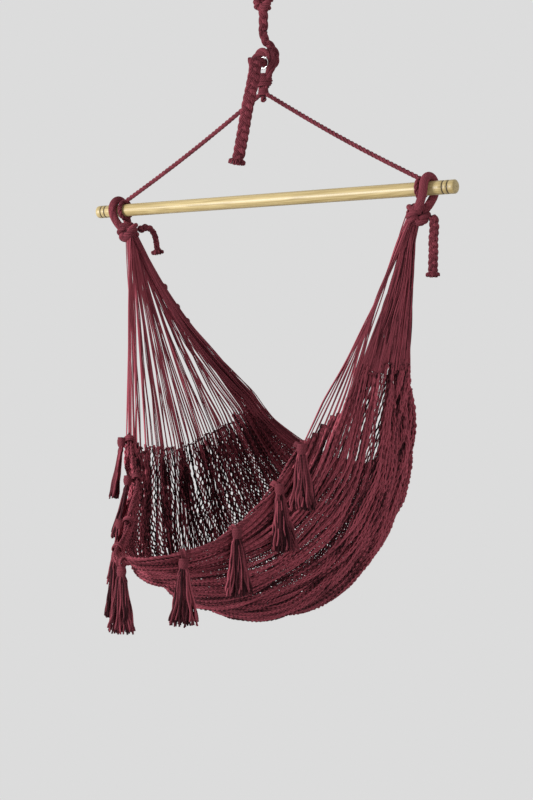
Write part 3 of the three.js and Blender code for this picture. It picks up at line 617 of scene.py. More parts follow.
def make_rope():
    """The hanging rope, and its turn behind the eye and forward through the ring."""
    line = np.linspace([0, 0, -0.126], [0, 0, -0.17355], 32)
    rope = plait(Yarns(), line, 0.0225, LOBE, RIGHT)
    rope.build("hanging_plait", "rope", rope_yarn, ["hanging_rope"], "plaited_rope")
    grip = EYE_ROPE_WIDTH / 2 + ROPE_WIDTH / 2 + CLEARANCE
    drop = EYE_RADIUS + grip + 0.026
    points = [
        (0, 0, drop),
        (0, 0, drop - 0.0052),
        (0.0014, 0.0045, EYE_RADIUS + grip + 0.00624),
        (0.0056, 0.0165, EYE_RADIUS + grip * 0.78),
        (0.0112, 0.025, EYE_RADIUS * 1.15),
        (0.014, 0.027, EYE_RADIUS * 0.5),
        (0.0098, 0.025, 0),
        (0.0028, 0.017, -0.0017),
        (0, 0.00625, 0),
        (0, 0, 0),
        (0, -0.0249, 0),
    ]
    line = catmull([(x, y, z + RING_Z) for x, y, z in points], 120)
    hitch = plait(Yarns(), line, ROPE_WIDTH, LOBE, RIGHT, begun=0.0383)
    hitch.build("hitch_plait", "hitch", rope_yarn, ["hitch"], "plaited_rope")


make_hanger()
make_rope()

# Eye, ring, whipping and bridle

EYE_OPENING = 0.62
EYE_POINTS = 150
HITCH_RADIUS = 0.0208
HITCH_REACH = 0.414
BRIDLE_RADIUS = 0.0056
BRIDLE_YARN = 0.0009
BRIDLE_POINTS = 300


def make_eye():
    """The served eye with the lump over its feet, the steel ring in it, the whipping and the knob."""
    arc = bent(EYE_RADIUS, -EYE_OPENING, np.pi + EYE_OPENING, 15)
    feet = [(0.0126, 0, -0.0366), (0.0063, 0, -0.0484), (0.0063, 0, -0.059)]
    line = catmull(with_feet(arc, feet), EYE_POINTS) + UP * RING_Z
    share = np.linspace(0, 1, EYE_POINTS)
    ends = np.clip(np.minimum(share, 1 - share) / 0.22, 0, 1)
    radius = 0.006 + 0.004 * ends
    side, _ = carried_frame(line, [0, 1, 0])
    eye = twist(Yarns(), line, side, radius * 1.02, 0.105, yarn=0.0013)
    lump = np.array([0, 0, RING_Z - 0.0405])
    lump_wide = [0.014, 0.0195, 0.0215, 0.0195, 0.015]
    lump_deep = [0.012, 0.015, 0.0165, 0.015, 0.0125]
    winding(eye, lump, UP, lump_wide, lump_deep, RIGHT, 0.0047, 0.0027, 6)
    eye.build("eye_yarns", "bridle", wrap_yarn, ["eye_wrap"], "wrapped_cord")
    ring, out = ring_line((0, 0, RING_Z), (0, 1, 0), 0.0128, 96)
    steel_ring = Yarns().add(ring, 0.002, 20, side=out, tone=0.5, round_it=True)
    steel_ring.build("eye_ring_steel", "bridle", steel, ["eye_ring"], "ring_steel")
    band_wide, band_deep = [0.013, 0.0125, 0.0112], [0.012, 0.0115, 0.0105]
    band = winding(Yarns(), (0, 0, -0.31255), UP, band_wide, band_deep, RIGHT, 0.0032, 0.0017, 5)
    band.build("eye_whipping", "bridle", wrap_yarn, ["apex_whipping"], "wrapped_cord")
    knob = knotted(Yarns(), (0, 0, -0.32785), 0.0156, 0.0145, 0.0028, turned=0.6)
    knob.build("eye_knob", "bridle", wrap_yarn, ["wrap_knob"], "wrapped_cord")


def make_bridle(name, side):
    """One leg from the whipping to the bar, and its turn round the bar."""
    top = np.array([side * 0.0052, 0, -0.31455])
    foot = np.array([side * HITCH_REACH, 0, BAR_Z + HITCH_RADIUS])
    sag = 0.006 * np.sin(np.pi * np.linspace(0, 1, BRIDLE_POINTS))
    line = np.linspace(top, foot, BRIDLE_POINTS) - sag[:, None] * UP
    leg = twist(Yarns(), line, np.array([0, 1.0, 0]), BRIDLE_RADIUS, 0.034, yarn=BRIDLE_YARN)
    leg.build(f"bridle_rope_{name}", "bridle", rope_yarn, [f"bridle_leg_{name}"], "plaited_rope")
    ring, out = ring_line((side * HITCH_REACH, 0, BAR_Z), (1, 0, 0), HITCH_RADIUS, 120)
    hitch = twist(Yarns(), ring, out, BRIDLE_RADIUS, 0.033, yarn=BRIDLE_YARN, round_it=True)
    hitch.build(f"bar_hitch_turn_{name}", "bridle", rope_yarn, [f"bar_hitch_{name}"], "plaited_rope")


make_eye()
for side_name, side_sign in SIDES:
    make_bridle(side_name, side_sign)

# Turned bar: its end as inset and radius, and half a groove as shift, share of its depth and burn

BAR_HALF = 0.5
BAR_RADIUS = 0.015
BAR_SIDES = 96
BAR_MIDDLE_POINTS = 60
GROOVE_DEPTH = 0.0015
GROOVE_INSETS = (0.017, 0.029)
HALF_GROOVE = [(0.0021, 0, 0.1), (0.0014, 0.35, 0.75), (0.0007, 0.95, 1)]
BAR_END = [
    (0, 0.0002), (0.0006, 0.0045), (0.0006, 0.0085), (0.0007, 0.0108), (0.0016, 0.0128),
    (0.003, 0.0144), (0.0048, BAR_RADIUS),
]
BAR_END_BURN = [0, 0, 0, 0.05, 0.1, 0.05, 0]


def make_bar():
    profile, burnt = list(BAR_END), list(BAR_END_BURN)
    groove = [(-shift, cut, dark) for shift, cut, dark in HALF_GROOVE] + [(0, 1, 1)] + HALF_GROOVE[::-1]
    for inset in GROOVE_INSETS:
        for shift, cut, dark in groove:
            profile.append((inset + shift, BAR_RADIUS - GROOVE_DEPTH * cut))
            burnt.append(dark)
    left = [(x - BAR_HALF, r) for x, r in profile]
    right = [(BAR_HALF - x, r) for x, r in profile[::-1]]
    straight = np.linspace(0.04 - BAR_HALF, BAR_HALF - 0.04, BAR_MIDDLE_POINTS)
    rows = np.array(left + [(x, BAR_RADIUS) for x in straight] + right)
    dark = np.array(burnt + [0] * BAR_MIDDLE_POINTS + burnt[::-1])
    n = len(rows)
    line = np.stack([rows[:, 0], np.zeros(n), np.full(n, BAR_Z)], axis=1)
    angle = (TAU * np.arange(BAR_SIDES) / BAR_SIDES)[:, None]
    ring = np.cos(angle) * np.array([0, 1.0, 0]) + np.sin(angle) * UP
    points = line[:, None] + rows[:, 1][:, None, None] * ring
    j = np.arange(BAR_SIDES)
    i, k = np.arange(n - 1)[:, None] * BAR_SIDES, (j + 1) % BAR_SIDES
    bar = Yarns()
    bar.add_faces(stacked(i + k, i + BAR_SIDES + k, i + BAR_SIDES + j, i + j).reshape(-1, 4))
    bar.add_faces(j[None])
    bar.add_faces(((n - 1) * BAR_SIDES + j[::-1])[None])
    bar.points.append(points.reshape(-1, 3))
    bar.tones.append(np.repeat(dark, BAR_SIDES))
    bar.build("turned_bar", "bar", wood, ["spreader_bar"], "bar_wood")


make_bar()

# The seat's surface. The tables' first column is the place, and the rest are shares of the sizes

LEFT_TUCK = 0.04
APEX = np.array([0.398, 0, -0.045])
SHOULDER_SIZE = np.array([0.318, 0.245, -0.559])
FRONT_REACH, BACK_REACH, SEAT_DROP = 0.492, 0.43, 0.939
SHOULDER = np.array([
    (0, 0.75, -0.78, 0.95), (0.12, 0.89, -0.54, 0.98), (0.3, 1, -0.18, 1), (0.5, 0.99, 0.2, 0.99),
    (0.7, 0.92, 0.55, 0.95), (0.87, 0.8, 0.82, 0.88), (1, 0.69, 1, 0.82),
])
MIDDLE = np.array([
    (0, -1, 0.825), (0.12, -0.82, 0.845), (0.3, -0.49, 0.935), (0.5, -0.13, 1), (0.68, 0.27, 0.99),
    (0.82, 0.61, 0.93), (0.92, 0.85, 0.835), (1, 1, 0.675),
])
PULL = np.array([
    (0, 0.42, 0.42), (0.3, 0.4, 0.42), (0.5, 0.36, 0.44), (0.7, 0.3, 0.4), (0.85, 0.28, 0.38),
    (1, 0.3, 0.42),
])


def read_table(rows, place):
    """Smooth values between the rows of a table whose first column is the place."""
    x, y = rows[:, 0], rows[:, 1:]
    last = len(x) - 1
    before, after = np.maximum(np.arange(last + 1) - 1, 0), np.minimum(np.arange(last + 1) + 1, last)
    slope = (y[after] - y[before]) / (x[after] - x[before])[:, None]
    i = np.clip(np.searchsorted(x, place, side="left") - 1, 0, last - 1)
    span = (x[i + 1] - x[i])[..., None]
    t = (place - x[i])[..., None] / span
    t2, t3 = t**2, t**3
    value = (2 * t3 - 3 * t2 + 1) * y[i] + (t3 - 2 * t2 + t) * span * slope[i]
    return value + (3 * t2 - 2 * t3) * y[i + 1] + (t3 - t2) * span * slope[i + 1]


def tuck_at(place, across):
    """How far the left wall's front is tucked in, between the shoulder and the front corner."""
    left = smooth(0, 0.45, -across) * (1 - smooth(0.7, 1, -across))
    return LEFT_TUCK * (1 - smooth(0, 0.3, place)) * left


def net_point(place, across):
    """A point of the net about the bar's centre: place 0 front to 1 back, across -1 left to 1 right."""
    place, across = np.broadcast_arrays(np.asarray(place, float), np.asarray(across, float))
    shoulder = read_table(SHOULDER, place) * SHOULDER_SIZE
    depth, drop = np.moveaxis(read_table(MIDDLE, place), -1, 0)
    deep = np.where(depth < 0, depth * FRONT_REACH, depth * BACK_REACH)
    middle = np.stack([0 * depth, deep, -drop * SEAT_DROP], axis=-1)
    pull = read_table(PULL, place)
    reach = np.linalg.norm(shoulder - middle, axis=-1, keepdims=True)
    high = shoulder + unit(shoulder - APEX) * reach * pull[..., :1]
    corner = (1 - smooth(0, 0.2, place))[..., None]
    heading = unit(np.array([-1.0, 0, 0]) * (1 - corner) + np.array([-0.88, -0.47, -0.02]) * corner)
    low = middle - heading * reach * pull[..., 1:]
    t = (1 - np.abs(across))[..., None]
    u = 1 - t
    point = u**3 * shoulder + 3 * u * u * t * high + 3 * u * t * t * low + t**3 * middle
    point[..., 0] = np.where(across < 0, tuck_at(place, across) - point[..., 0], point[..., 0])
    return point


def net_normal(place, across, step=0.002):
    along = net_point(place, np.minimum(across + step, 1)) - net_point(place, np.maximum(across - step, -1))
    over = net_point(np.minimum(place + step, 1), across) - net_point(np.maximum(place - step, 0), across)
    return unit(np.cross(along, over))


def fold_at(place):
    """How far the eight folds lift the cloth, from front to back."""
    edge = smooth(0, 0.08, place) * smooth(0, 0.08, 1 - place)
    return 0.009 * edge * np.sin(TAU * 8 * place)


BACK_SLACK = np.array([0, -0.034, -0.014])
SEAT_AT = UP * BAR_Z


def cloth_frame(place, along):
    """The cloth's point and normal, and how much of its folds it has there.

    along is -1 to 1 over the net, and beyond it up the strings to the knot at -2 or 2.
    """
    place, along = np.broadcast_arrays(np.asarray(place, float), np.asarray(along, float))
    inside = np.clip(along, -1, 1)
    rise = np.clip(np.abs(along) - 1, 0, 1)
    point = net_point(place, inside)
    apex = APEX * np.stack([np.sign(along), np.ones_like(along), np.ones_like(along)], axis=-1)
    slack = np.maximum(0, (place - 0.66) / 0.34) ** 1.6 * np.sin(np.pi * (1 - rise))
    point = point + rise[..., None] * (apex - point) + slack[..., None] * BACK_SLACK
    return point, net_normal(place, inside), np.maximum(0, 1 - rise / 0.6)


def cloth_at(place, along):
    """Points on the folded cloth at one place, in the seat's frame."""
    point, normal, folds = cloth_frame(place, along)
    return point + (fold_at(place) * folds)[..., None] * normal + SEAT_AT


# Warps, and the columns and bunches that they lie in

WARPS = 384
EVEN_PLACES = 401


def warp_edges():
    """The places between warps, closer where the seat is wider."""
    place = np.linspace(0, 1, EVEN_PLACES)
    lines = [net_point(place, np.full(EVEN_PLACES, across)) for across in (0.0, 0.7)]
    middle, wall = (np.linalg.norm(np.diff(line, axis=0), axis=1) for line in lines)
    total = np.concatenate([[0], np.cumsum(middle + wall)])
    return np.interp(np.linspace(0, total[-1], WARPS + 1), total, place)


EDGES = warp_edges()
PLACES = ((EDGES[1:] + EDGES[:-1]) / 2)[:, None]
STEP = (EDGES[1:] - EDGES[:-1])[:, None]


def place_of(warp):
    return np.interp(warp, np.arange(WARPS + 1), EDGES)


def column_edges():
    edges = np.cumsum(rng.uniform(0.013, 0.031, 90))
    return np.concatenate([[0], edges[edges < 0.985], [1]])


COLUMNS = column_edges()


def folded(place, along, depth):
    """Draws warps together in columns: the new place, and how near each point is to its ridge."""
    place = np.clip(place, 0, 1)
    drift = 0.012 * np.sin(TAU * (1.3 * along + 2.1 * place)) * np.sin(np.pi * place)
    at = np.clip(place + drift, 0, 0.99999)
    i = np.searchsorted(COLUMNS, at, side="right") - 1
    width = COLUMNS[i + 1] - COLUMNS[i]
    phase = TAU * (at - COLUMNS[i]) / width
    return place + depth * width / TAU * np.sin(phase), np.abs(np.sin(phase / 2))


BUNCH_SIZES = [3, 4, 5, 6, 7, 8]
BUNCH_ODDS = [0.1, 0.22, 0.26, 0.2, 0.14, 0.08]
SLIT_LENGTHS = [0.012, 0.03, 0.055, 0.09]
SLIT_ODDS = [0.3, 0.3, 0.25, 0.15]


def groups(deep):
    """Bunches of warps that share their strings: first warp, count, depth of the start, slit's length."""
    out, first, depth = [], 0, 0.0
    while first < WARPS:
        size = min(int(rng.choice(BUNCH_SIZES, p=BUNCH_ODDS)), WARPS - first)
        if rng.random() < 0.45:
            depth = rng.uniform(0.0, deep)
        slit = rng.choice(SLIT_LENGTHS, p=SLIT_ODDS)
        out.append((first, size, depth + rng.uniform(0, 0.006), slit))
        first += size
    return out


BUNCHES = {-1: groups(0.024), 1: groups(0.03)}


def start_at(side, place):
    """How far inside the shoulder the net begins. At the right it reaches up between the strings."""
    if side < 0:
        return 0.004 * np.sin(TAU * 2.3 * place)
    return -0.2 * smooth(0, 0.17, place) * (1 - smooth(0.62, 0.88, place))


def bunch_arrays(side):
    """For each warp, its bunch's middle place, start and slit, as columns."""
    centre, start, slit = np.zeros((3, WARPS, 1))
    for first, count, depth, length in BUNCHES[side]:
        own = slice(first, first + count)
        centre[own] = place_of(first + count / 2)
        start[own] = depth + start_at(side, centre[first])
        slit[own] = length
    return centre, start, slit


def warp_runs():
    """For each warp, its distance from the left shoulder at even steps along the cloth, and its length."""
    along = np.linspace(-1.5, 1.5, 301)
    run = distances(cloth_frame(PLACES, along[None])[0])
    return along, run - run[:, 50:51], run[:, 250:251] - run[:, 50:51]


STEPS_ALONG, RUNS, NET_LENGTHS = warp_runs()

# Openness of the net on its left half by place: closed folds and open bands

BANDS = np.array([
    (0, 0.05), (0.33, 0.05), (0.355, 0.6), (0.375, 0.6), (0.39, 0.08), (0.43, 0.08), (0.45, 0.7),
    (0.475, 0.7), (0.49, 0.08), (0.555, 0.1), (0.58, 0.75), (0.64, 0.9), (0.665, 0.35), (0.69, 0.85),
    (0.75, 0.95), (0.775, 0.45), (0.8, 0.8), (0.86, 0.7), (0.9, 0.35), (1, 0.2),
])


def band_at(place, along):
    """The openness at a place. The left half has the bands, and the right wall is more even."""
    sway = 0.008 * np.sin(TAU * (1.1 * along + 3 * place))
    left = np.interp(place + sway, BANDS[:, 0], BANDS[:, 1])
    right = 0.2 + 0.35 * smooth(0.4, 0.7, place) * (1 - smooth(0.75, 0.95, along))
    right = right * (1 - 0.6 * smooth(0.85, 1, along))
    return left + (right - left) * smooth(0, 0.45, along)


def openness(place, along, ridge):
    """How wide the net's gaps are, 0 to 1: wider in patches, and narrower on the ridges."""
    wave = np.sin(TAU * (3.1 * place + 1.9 * along)) * np.sin(TAU * (1.7 * place - 2.6 * along) + 0.8)
    patch = 0.5 + 0.5 * wave
    return band_at(place, along) * (0.6 + 0.55 * patch) * (1.2 - 0.5 * ridge)


# The net

YARN_STEP = 0.0062
RIGHT_PULL = 0.16
YARN_LEAST, YARN_MOST = 0.0011, 0.0023
PANELS = 8


def net_runs():
    """Each warp's points: distance, place along, sideways pull, and distance from the nearer end."""
    count = 2 * int(round(NET_LENGTHS.mean() / YARN_STEP)) + 1
    centre_l, start_l, slit_l = bunch_arrays(-1)
    centre_r, start_r, slit_r = bunch_arrays(1)
    even = np.linspace(0, 1, count)
    share = even + 0.32 / TAU * np.sin(TAU * even)
    run = start_l + (NET_LENGTHS - start_r - start_l) * share
    along = np.stack([np.interp(run[w], RUNS[w], STEPS_ALONG) for w in range(WARPS)])
    from_l, from_r = run - start_l, NET_LENGTHS - start_r - run
    loose = 0.06 + 1.1 * band_at(PLACES, along)
    pull = np.zeros_like(run)
    ends = ((from_l, centre_l, slit_l, 1), (from_r, centre_r, slit_r, RIGHT_PULL))
    for distance, centre, slit, part in ends:
        fading = 0.25 * np.exp(-distance / 0.004) + 0.62 * np.exp(-distance / slit)
        pull += part * fading * (centre - PLACES) * loose
    return run, along, pull, np.minimum(from_l, from_r)


def spacing_of(points):
    """The gaps beside each yarn, square to it: the wider one at each point, and the mean of one."""
    way = tangents(points)[1:]
    gap = np.diff(points, axis=0)
    gap = np.linalg.norm(gap - (gap * way).sum(2, keepdims=True) * way, axis=2)
    after = np.vstack([gap, gap[-1:]])
    return np.maximum(np.vstack([gap[:1], gap]), after), after.mean(1)


def make_net():
    """Yarns side by side that part and meet their neighbours by turns, so that the gaps are short slits."""
    run, along, pull, near = net_runs()
    wall = smooth(0.2, 0.7, np.abs(along))
    right = smooth(0.1, 0.6, along)
    front_wall = (1 - smooth(0.28, 0.36, PLACES)) * (1 - smooth(-0.4, 0.1, along))
    back = smooth(0.45, 0.6, PLACES) * (1 - smooth(-0.2, 0.3, along))
    swell = np.sin(TAU * (12.3 * PLACES + 0.7 * along)) + 0.5 * np.sin(TAU * (7.1 * PLACES + 2.3 * along) + 2)
    index, cell = np.arange(WARPS)[:, None], (np.arange(run.shape[1]) // 2)[None]
    odd = (cell + index) % 2 == 0
    layer = rng.choice([0.0, 1.0], (WARPS, 1), p=[0.4, 0.6])
    weave = 0.0022 * (layer - 0.6) * np.sin(TAU * run / 0.11 + rng.uniform(0, TAU, (WARPS, 1)))
    weave = weave + 0.0007 * np.where(odd, 1, -1)

    def lay(place, ridge):
        """The yarns' points over the cloth: its folds, columns and swells, and the weave on them."""
        point, normal, folds = cloth_frame(place, along)
        edge = smooth(0, 0.05, place) * smooth(0, 0.05, 1 - place)
        lift = fold_at(place) * folds + 0.0035 * edge * np.sin(TAU * (5.3 * place + 1.7 * along))
        lift = lift - (0.0035 + 0.0095 * wall) * edge * (ridge - 0.5) * smooth(0, 0.06, near)
        lift = lift + 0.0055 * edge * right * swell
        gather = np.exp(-place / 0.03) * smooth(-0.25, -0.6, along)
        lift = lift + 0.0045 * gather * np.sin(TAU * run / 0.021 + 2.0 * np.sin(run * 40))
        return point + (lift + weave)[..., None] * normal + SEAT_AT, normal

    deep = (0.25 + 0.25 * wall) * (1 - 0.6 * back) * (1 - 0.9 * front_wall)
    deep = deep * (1 - 0.5 * smooth(0.85, 1, along)) * smooth(0, 0.05, near)
    gap, wide = spacing_of(lay(*folded(PLACES, along, deep))[0])
    radius = np.clip(0.5 * gap, YARN_LEAST, YARN_MOST)
    radius = radius * (1 - 0.3 * np.minimum(1, np.abs(pull) / STEP * 0.5)) * (1 - 0.08 * back)
    place, ridge = folded(PLACES + pull, along, deep)
    gaps = rng.random((WARPS + 1, cell.max() + 1)) ** 2.2
    swing = np.where(odd, gaps[index, cell], -gaps[index + 1, cell])
    reach = (0.95 + 0.45 * back) * (1 - 0.8 * front_wall) * swing
    reach = reach * openness(place, along, ridge) * smooth(0.006, 0.028, near)
    point, normal = lay(np.clip(place + reach * STEP * 1.3, 0.0005, 0.9995), ridge)
    # Painted light and shade in the tones: warps of the lower layer, the back and the right wall are darker,
    # the front wall and the left front lighter, ridges lighter and folds darker, raised points of the weave
    # lighter and sunk ones darker, and the right wall darker with its swells. The rest is a random tone for
    # each warp and point.
    tone = 0.17 + 0.52 * layer + rng.uniform(-0.2, 0.2, (WARPS, 1)) - 0.07 * back + 0.12 * front_wall
    tone = tone + (0.45 + 0.65 * wall + 0.25 * right) * (ridge - 0.6) + 0.06 * (1 - right) * (1 - back)
    tone = tone + 0.25 * (rng.random(run.shape) - 0.5) - right * (0.05 + 0.16 * swell)
    tone = tone + 0.16 * np.where(odd, 1, -1)
    cuts = np.linspace(0, WARPS, PANELS + 1).astype(int)
    for number, (first, last) in enumerate(zip(cuts[:-1], cuts[1:]), 1):
        own = slice(first, last)
        panel = Yarns().add(point[own], radius[own], 4, side=normal[own], tone=tone[own])
        piece = panel.build(f"seat_net_{number}", "seat", net_yarn, ["seat_net"], "net_yarn")


make_net()

# Fans of strings. Sizes are by side: -1 left, 1 right

FAN_POINTS = 44
STRING_RADIUS = {-1: 0.00115, 1: 0.0014}
# On the right fan every other string is darker: painted shade among the strings.
STRING_TONES = {-1: ((0.35, 1.15), (0.35, 1.15)), 1: ((0.4, 1.2), (-0.05, 0.6))}
STRINGS_BY_SIZE = {3: 1, 4: 2, 5: 2, 6: 2, 7: 3, 8: 3}
HEAD_ROWS = 2


def add_strings(fan, side, count, base, over, root, bow, opened, share):
    """The loose strings of one bunch, side by side, each with a wander and a wave of its own."""
    for k in range(count):
        apart = (k - (count - 1) / 2) * 0.0027
        wander = 0.25 + 0.75 * np.cos(np.pi * share * rng.uniform(0.6, 2.6) + rng.uniform(0, 3)) ** 2
        wave = np.sin(np.pi * share)[:, None] * bow * rng.uniform(0.4, 1.4)
        ripple = np.sin(TAU * (share * rng.uniform(1.5, 4) + rng.random())) * 0.0008 * np.sin(np.pi * share)
        mix = root + rng.normal(0, 0.0022, 3) * np.array([1, 1, 0])
        path = base + (apart * wander + ripple)[:, None] * over + wave + (1 - opened) * mix
        fan.add(path, STRING_RADIUS[side], 5, tone=rng.uniform(*STRING_TONES[side][k % 2]))


def add_heads(fan, side, warp, run, first, size):
    """Turns of yarn across the head of one bunch, where its strings are tied to it."""
    wide = np.clip(place_of(np.linspace(first, first + size, 7)), 0.002, 0.998)
    for row in range(HEAD_ROWS):
        head_along = np.interp(run - side * (0.003 + 0.0022 * row), RUNS[warp], STEPS_ALONG)
        head = cloth_at(wide, np.full(7, head_along)) + rng.normal(0, 0.0005, (7, 3))
        fan.add(head, 0.0011, 5, tone=rng.uniform(0.0, 0.4) + (0.4 if side > 0 else 0))


def make_fan(name, side):
    """Loose strings from the knot to the net, in bundles that open slowly, tied to the bunches' heads."""
    fan = Yarns()
    share = np.linspace(0, 1, FAN_POINTS)
    opened = smooth(0.02, 0.4, share)[:, None]
    bundle, spread, left_in_bundle = 0.0, 0.0, 0
    for first, size, depth, _ in BUNCHES[side]:
        place = float(place_of(first + size / 2))
        if left_in_bundle == 0:
            left_in_bundle = int(rng.integers(3, 8))
            bundle = place + 0.5 * left_in_bundle * 5 / WARPS
            spread = rng.uniform(0.35, 0.8) if side < 0 else rng.uniform(0.8, 1.0)
        left_in_bundle -= 1
        if place > 0.985:
            continue
        warp = min(first + size // 2, WARPS - 1)
        start = depth + start_at(side, place)
        run = start if side < 0 else float(NET_LENGTHS[warp, 0]) - start
        end_along = float(np.interp(run, RUNS[warp], STEPS_ALONG))
        tight = 1 - spread * (1 - smooth(0.3, 0.96, share))
        held = np.clip(bundle + (place - bundle) * tight, 0.012, 0.996)
        base = cloth_at(held, side * (2 - share * (2 - abs(end_along))))
        before, after = cloth_at(np.clip([place - 0.01, place + 0.01], 0, 1), np.full(2, end_along))
        turn = rng.uniform(0, TAU)
        root = np.array([np.sin(turn) * 0.6 * side, 2 * place - 1, 0]) * 0.006
        count = STRINGS_BY_SIZE.get(size, 1) + (4 if side > 0 and place > 0.1 else 0)
        bow = rng.normal(0, 0.0022 + 0.006 * max(0, place - 0.6), 3) * np.array([1, 1, 0.3])
        if side < 0 and 0.12 < place < 0.3 and rng.random() >= 0.35:
            count = 0
        add_strings(fan, side, count, base, unit(after - before), root, bow, opened, share)
        add_heads(fan, side, warp, run, first, size)
    nodes = [f"strings_{name}_{third}" for third in ("front", "middle", "back")]
    fan.build(f"string_fan_{name}", "seat", net_yarn, nodes, "net_yarn")


for side_name, side_sign in SIDES:
    make_fan(side_name, side_sign)

# Edge cords. Each front cord has its pitch and its reach from the edge

FRONT_POINTS, BACK_POINTS = 340, 240
FRONT_CORDS = ((0.21, 0.0047), (0.21, 0.0049), (0.29, 0.004), (0.17, 0.0028))
BACK_STRINGS, BACK_STRAYS = 44, 26
BACK_LUMPS = (0.085, 0.12, 0.145)
LUMP_SIZES = [0.006, 0.0095, 0.0105, 0.009, 0.006]


def make_front_edge():
    """Four thin cords that lie together and cross now and then."""
    line = catmull(net_point(np.zeros(33), np.linspace(-1, 1, 33)) + SEAT_AT, FRONT_POINTS)
    side, across = carried_frame(line, [0, 0, 1])
    run, _ = run_along(line)
    edge = Yarns()
    for k, (pitch, reach) in enumerate(FRONT_CORDS):
        turn = TAU * (run / pitch + k / 4) + 0.9 * np.sin(run * 23 + k)
        off = side * (reach * np.cos(turn))[:, None] + across * (reach * 0.8 * np.sin(turn))[:, None]
        twist(edge, line + off, side, 0.0031, 0.019, strands=2, yarn=0.0009, tone=0.4 + 0.06 * k)
    edge.build("front_edge_cords", "seat", net_yarn, ["front_edge_cord"], "net_yarn")


def make_back_edge():
    """A band of loose strings from knot to knot, with lumps of cord and a few strings that stray."""
    rise = np.array([0.05, 0.15, 0.3, 0.5, 0.7, 0.86])
    along = np.concatenate([rise - 2, np.linspace(-1, 1, 17), 2 - rise[::-1]])
    line = catmull(cloth_at(np.ones(len(along)), along), BACK_POINTS)
    side, across = carried_frame(line, [0, 1, 0])
    share = np.linspace(0, 1, BACK_POINTS)
    fill = smooth(0, 0.2, np.minimum(share, 1 - share))
    radius = 0.0075 + 0.0068 * fill
    band = Yarns()

    def waves(low, high):
        return np.sin(TAU * (share * rng.uniform(low, high) + rng.random()))

    def around(reach, angle):
        reach = radius * reach
        return line + (reach * np.cos(angle))[:, None] * side + (reach * np.sin(angle))[:, None] * across

    for k in range(BACK_STRINGS):
        reach = np.sqrt(rng.uniform(0.02, 1))
        drift = rng.normal(0, 0.5) * np.sin(np.pi * share) + 0.5 * waves(1, 3)
        swell = reach * (1 + 0.22 * waves(2, 6) * fill)
        path = around(swell, TAU * k / BACK_STRINGS * 3.1 + drift)
        # Strings deeper inside the band are darker: painted shade.
        band.add(path, 0.00135, 5, tone=0.2 + 0.45 * reach + rng.uniform(-0.12, 0.12))
    for at in BACK_LUMPS:
        i = int(at * BACK_POINTS)
        spot = line[i] + 0.006 * UP + 0.003 * side[i]
        way = line[i + 1] - line[i - 1]
        winding(band, spot, way, LUMP_SIZES, LUMP_SIZES, side[i], 0.0024, 0.0013, 7, tone=0.4)
    for _ in range(BACK_STRAYS):
        first = rng.uniform(0.04, 0.85)
        last = first + rng.uniform(0.06, 0.2)
        window = np.clip((share - first) / (last - first), 0, 1)
        off = np.sin(np.pi * window) * rng.uniform(0.004, 0.013)
        path = around(0.9, rng.uniform(0, TAU))
        path = path + off[:, None] * (UP * 0.8 + np.array([0, rng.normal(0, 0.4), 0]))
        band.add(path, 0.0011, 5)
    band.build("back_edge_yarns", "seat", net_yarn, ["back_edge_cord"], "net_yarn")


make_front_edge()
make_back_edge()

# Arms: loops over the bar, knots under it. A foot has its shift, and its shares of bend and drop

ARM_REACH = 0.434
ARM_ROPE_RADIUS = 0.0096
ARM_BEND = (BAR_RADIUS + CLEARANCE) / np.cos(np.pi / 20) + 0.0098
ARM_FEET = ((0.003, 0.95, 0.26), (0.012, 0.77, 0.6), (0.024, 0.45, 0.93))
KNOT_REACH = {-1: 0.403, 1: 0.404}
KNOT_DROP = 0.054


def make_arm(name, side):
    turns = np.linspace(0, np.pi, 11)
    arc = [(side * ARM_REACH, ARM_BEND * np.cos(t), ARM_BEND * np.sin(t)) for t in turns]
    feet = [(side * (ARM_REACH - x), ARM_BEND * wide, -KNOT_DROP * drop) for x, wide, drop in ARM_FEET]
    points = feet[::-1] + arc + [(x, -y, z) for x, y, z in feet]
    line = catmull(points, 130) + SEAT_AT
    loop = laid(Yarns(), line, np.array([1.0, 0, 0]), ARM_ROPE_RADIUS, ARM_ROPE_RADIUS, 0.0016, 0.12)
    loop.build(f"arm_loop_yarns_{name}", "seat", rope_yarn, [f"arm_loop_{name}"], "plaited_rope")
    centre = (side * KNOT_REACH[side], 0, BAR_Z - KNOT_DROP)
    knot = knotted(Yarns(), centre, 0.06, 0.053, 0.0118, turned=0.5 * side)
    knot.build(f"arm_knot_turns_{name}", "seat", rope_yarn, [f"arm_knot_{name}"], "wrapped_cord")


for side_name, side_sign in SIDES:
    make_arm(side_name, side_sign)

# Tassels. Shares, leans and tilts run from the middle one to the outer ones

TASSEL_SHARES = (0, 0.25, 0.51, 0.79, 0.975)
TASSEL_LEANS = (0, 12, 75, 75, 75)
TASSEL_TILTS = (0, 0, 8, 13, 9)
TASSEL_HANG = 0.008 + 0.025 * 0.42
TASSEL_YARNS = 96
CAP_SIZES = [0.0075, 0.0098, 0.0108, 0.01, 0.0088]
CAP_TURNS = (-0.005, -0.0024, 0.0002, 0.0027, 0.0052)
SKIRT_LENGTH = 0.112
SKIRT_TOP, SKIRT_FOOT = 0.0095, 0.0315


def make_cap(number, body, tied, head, along, wide):
    """Cord wound over the head, and turns of it round the edge cord."""
    cap = Yarns()
    deep = [size * 0.92 for size in CAP_SIZES]
    winding(cap, head - UP * 0.001, UP, CAP_SIZES, deep, wide, 0.0022, 0.00135, 10)
    for shift in CAP_TURNS:
        loop, way = ring_line(tied + along * shift, along, 0.0103, 40)
        cap.add(loop, 0.0014, 7, side=way, round_it=True)
    cap.build(f"tassel_cap_{number}", body, wrap_yarn, [f"tassel_head_{number}"], "wrapped_cord")


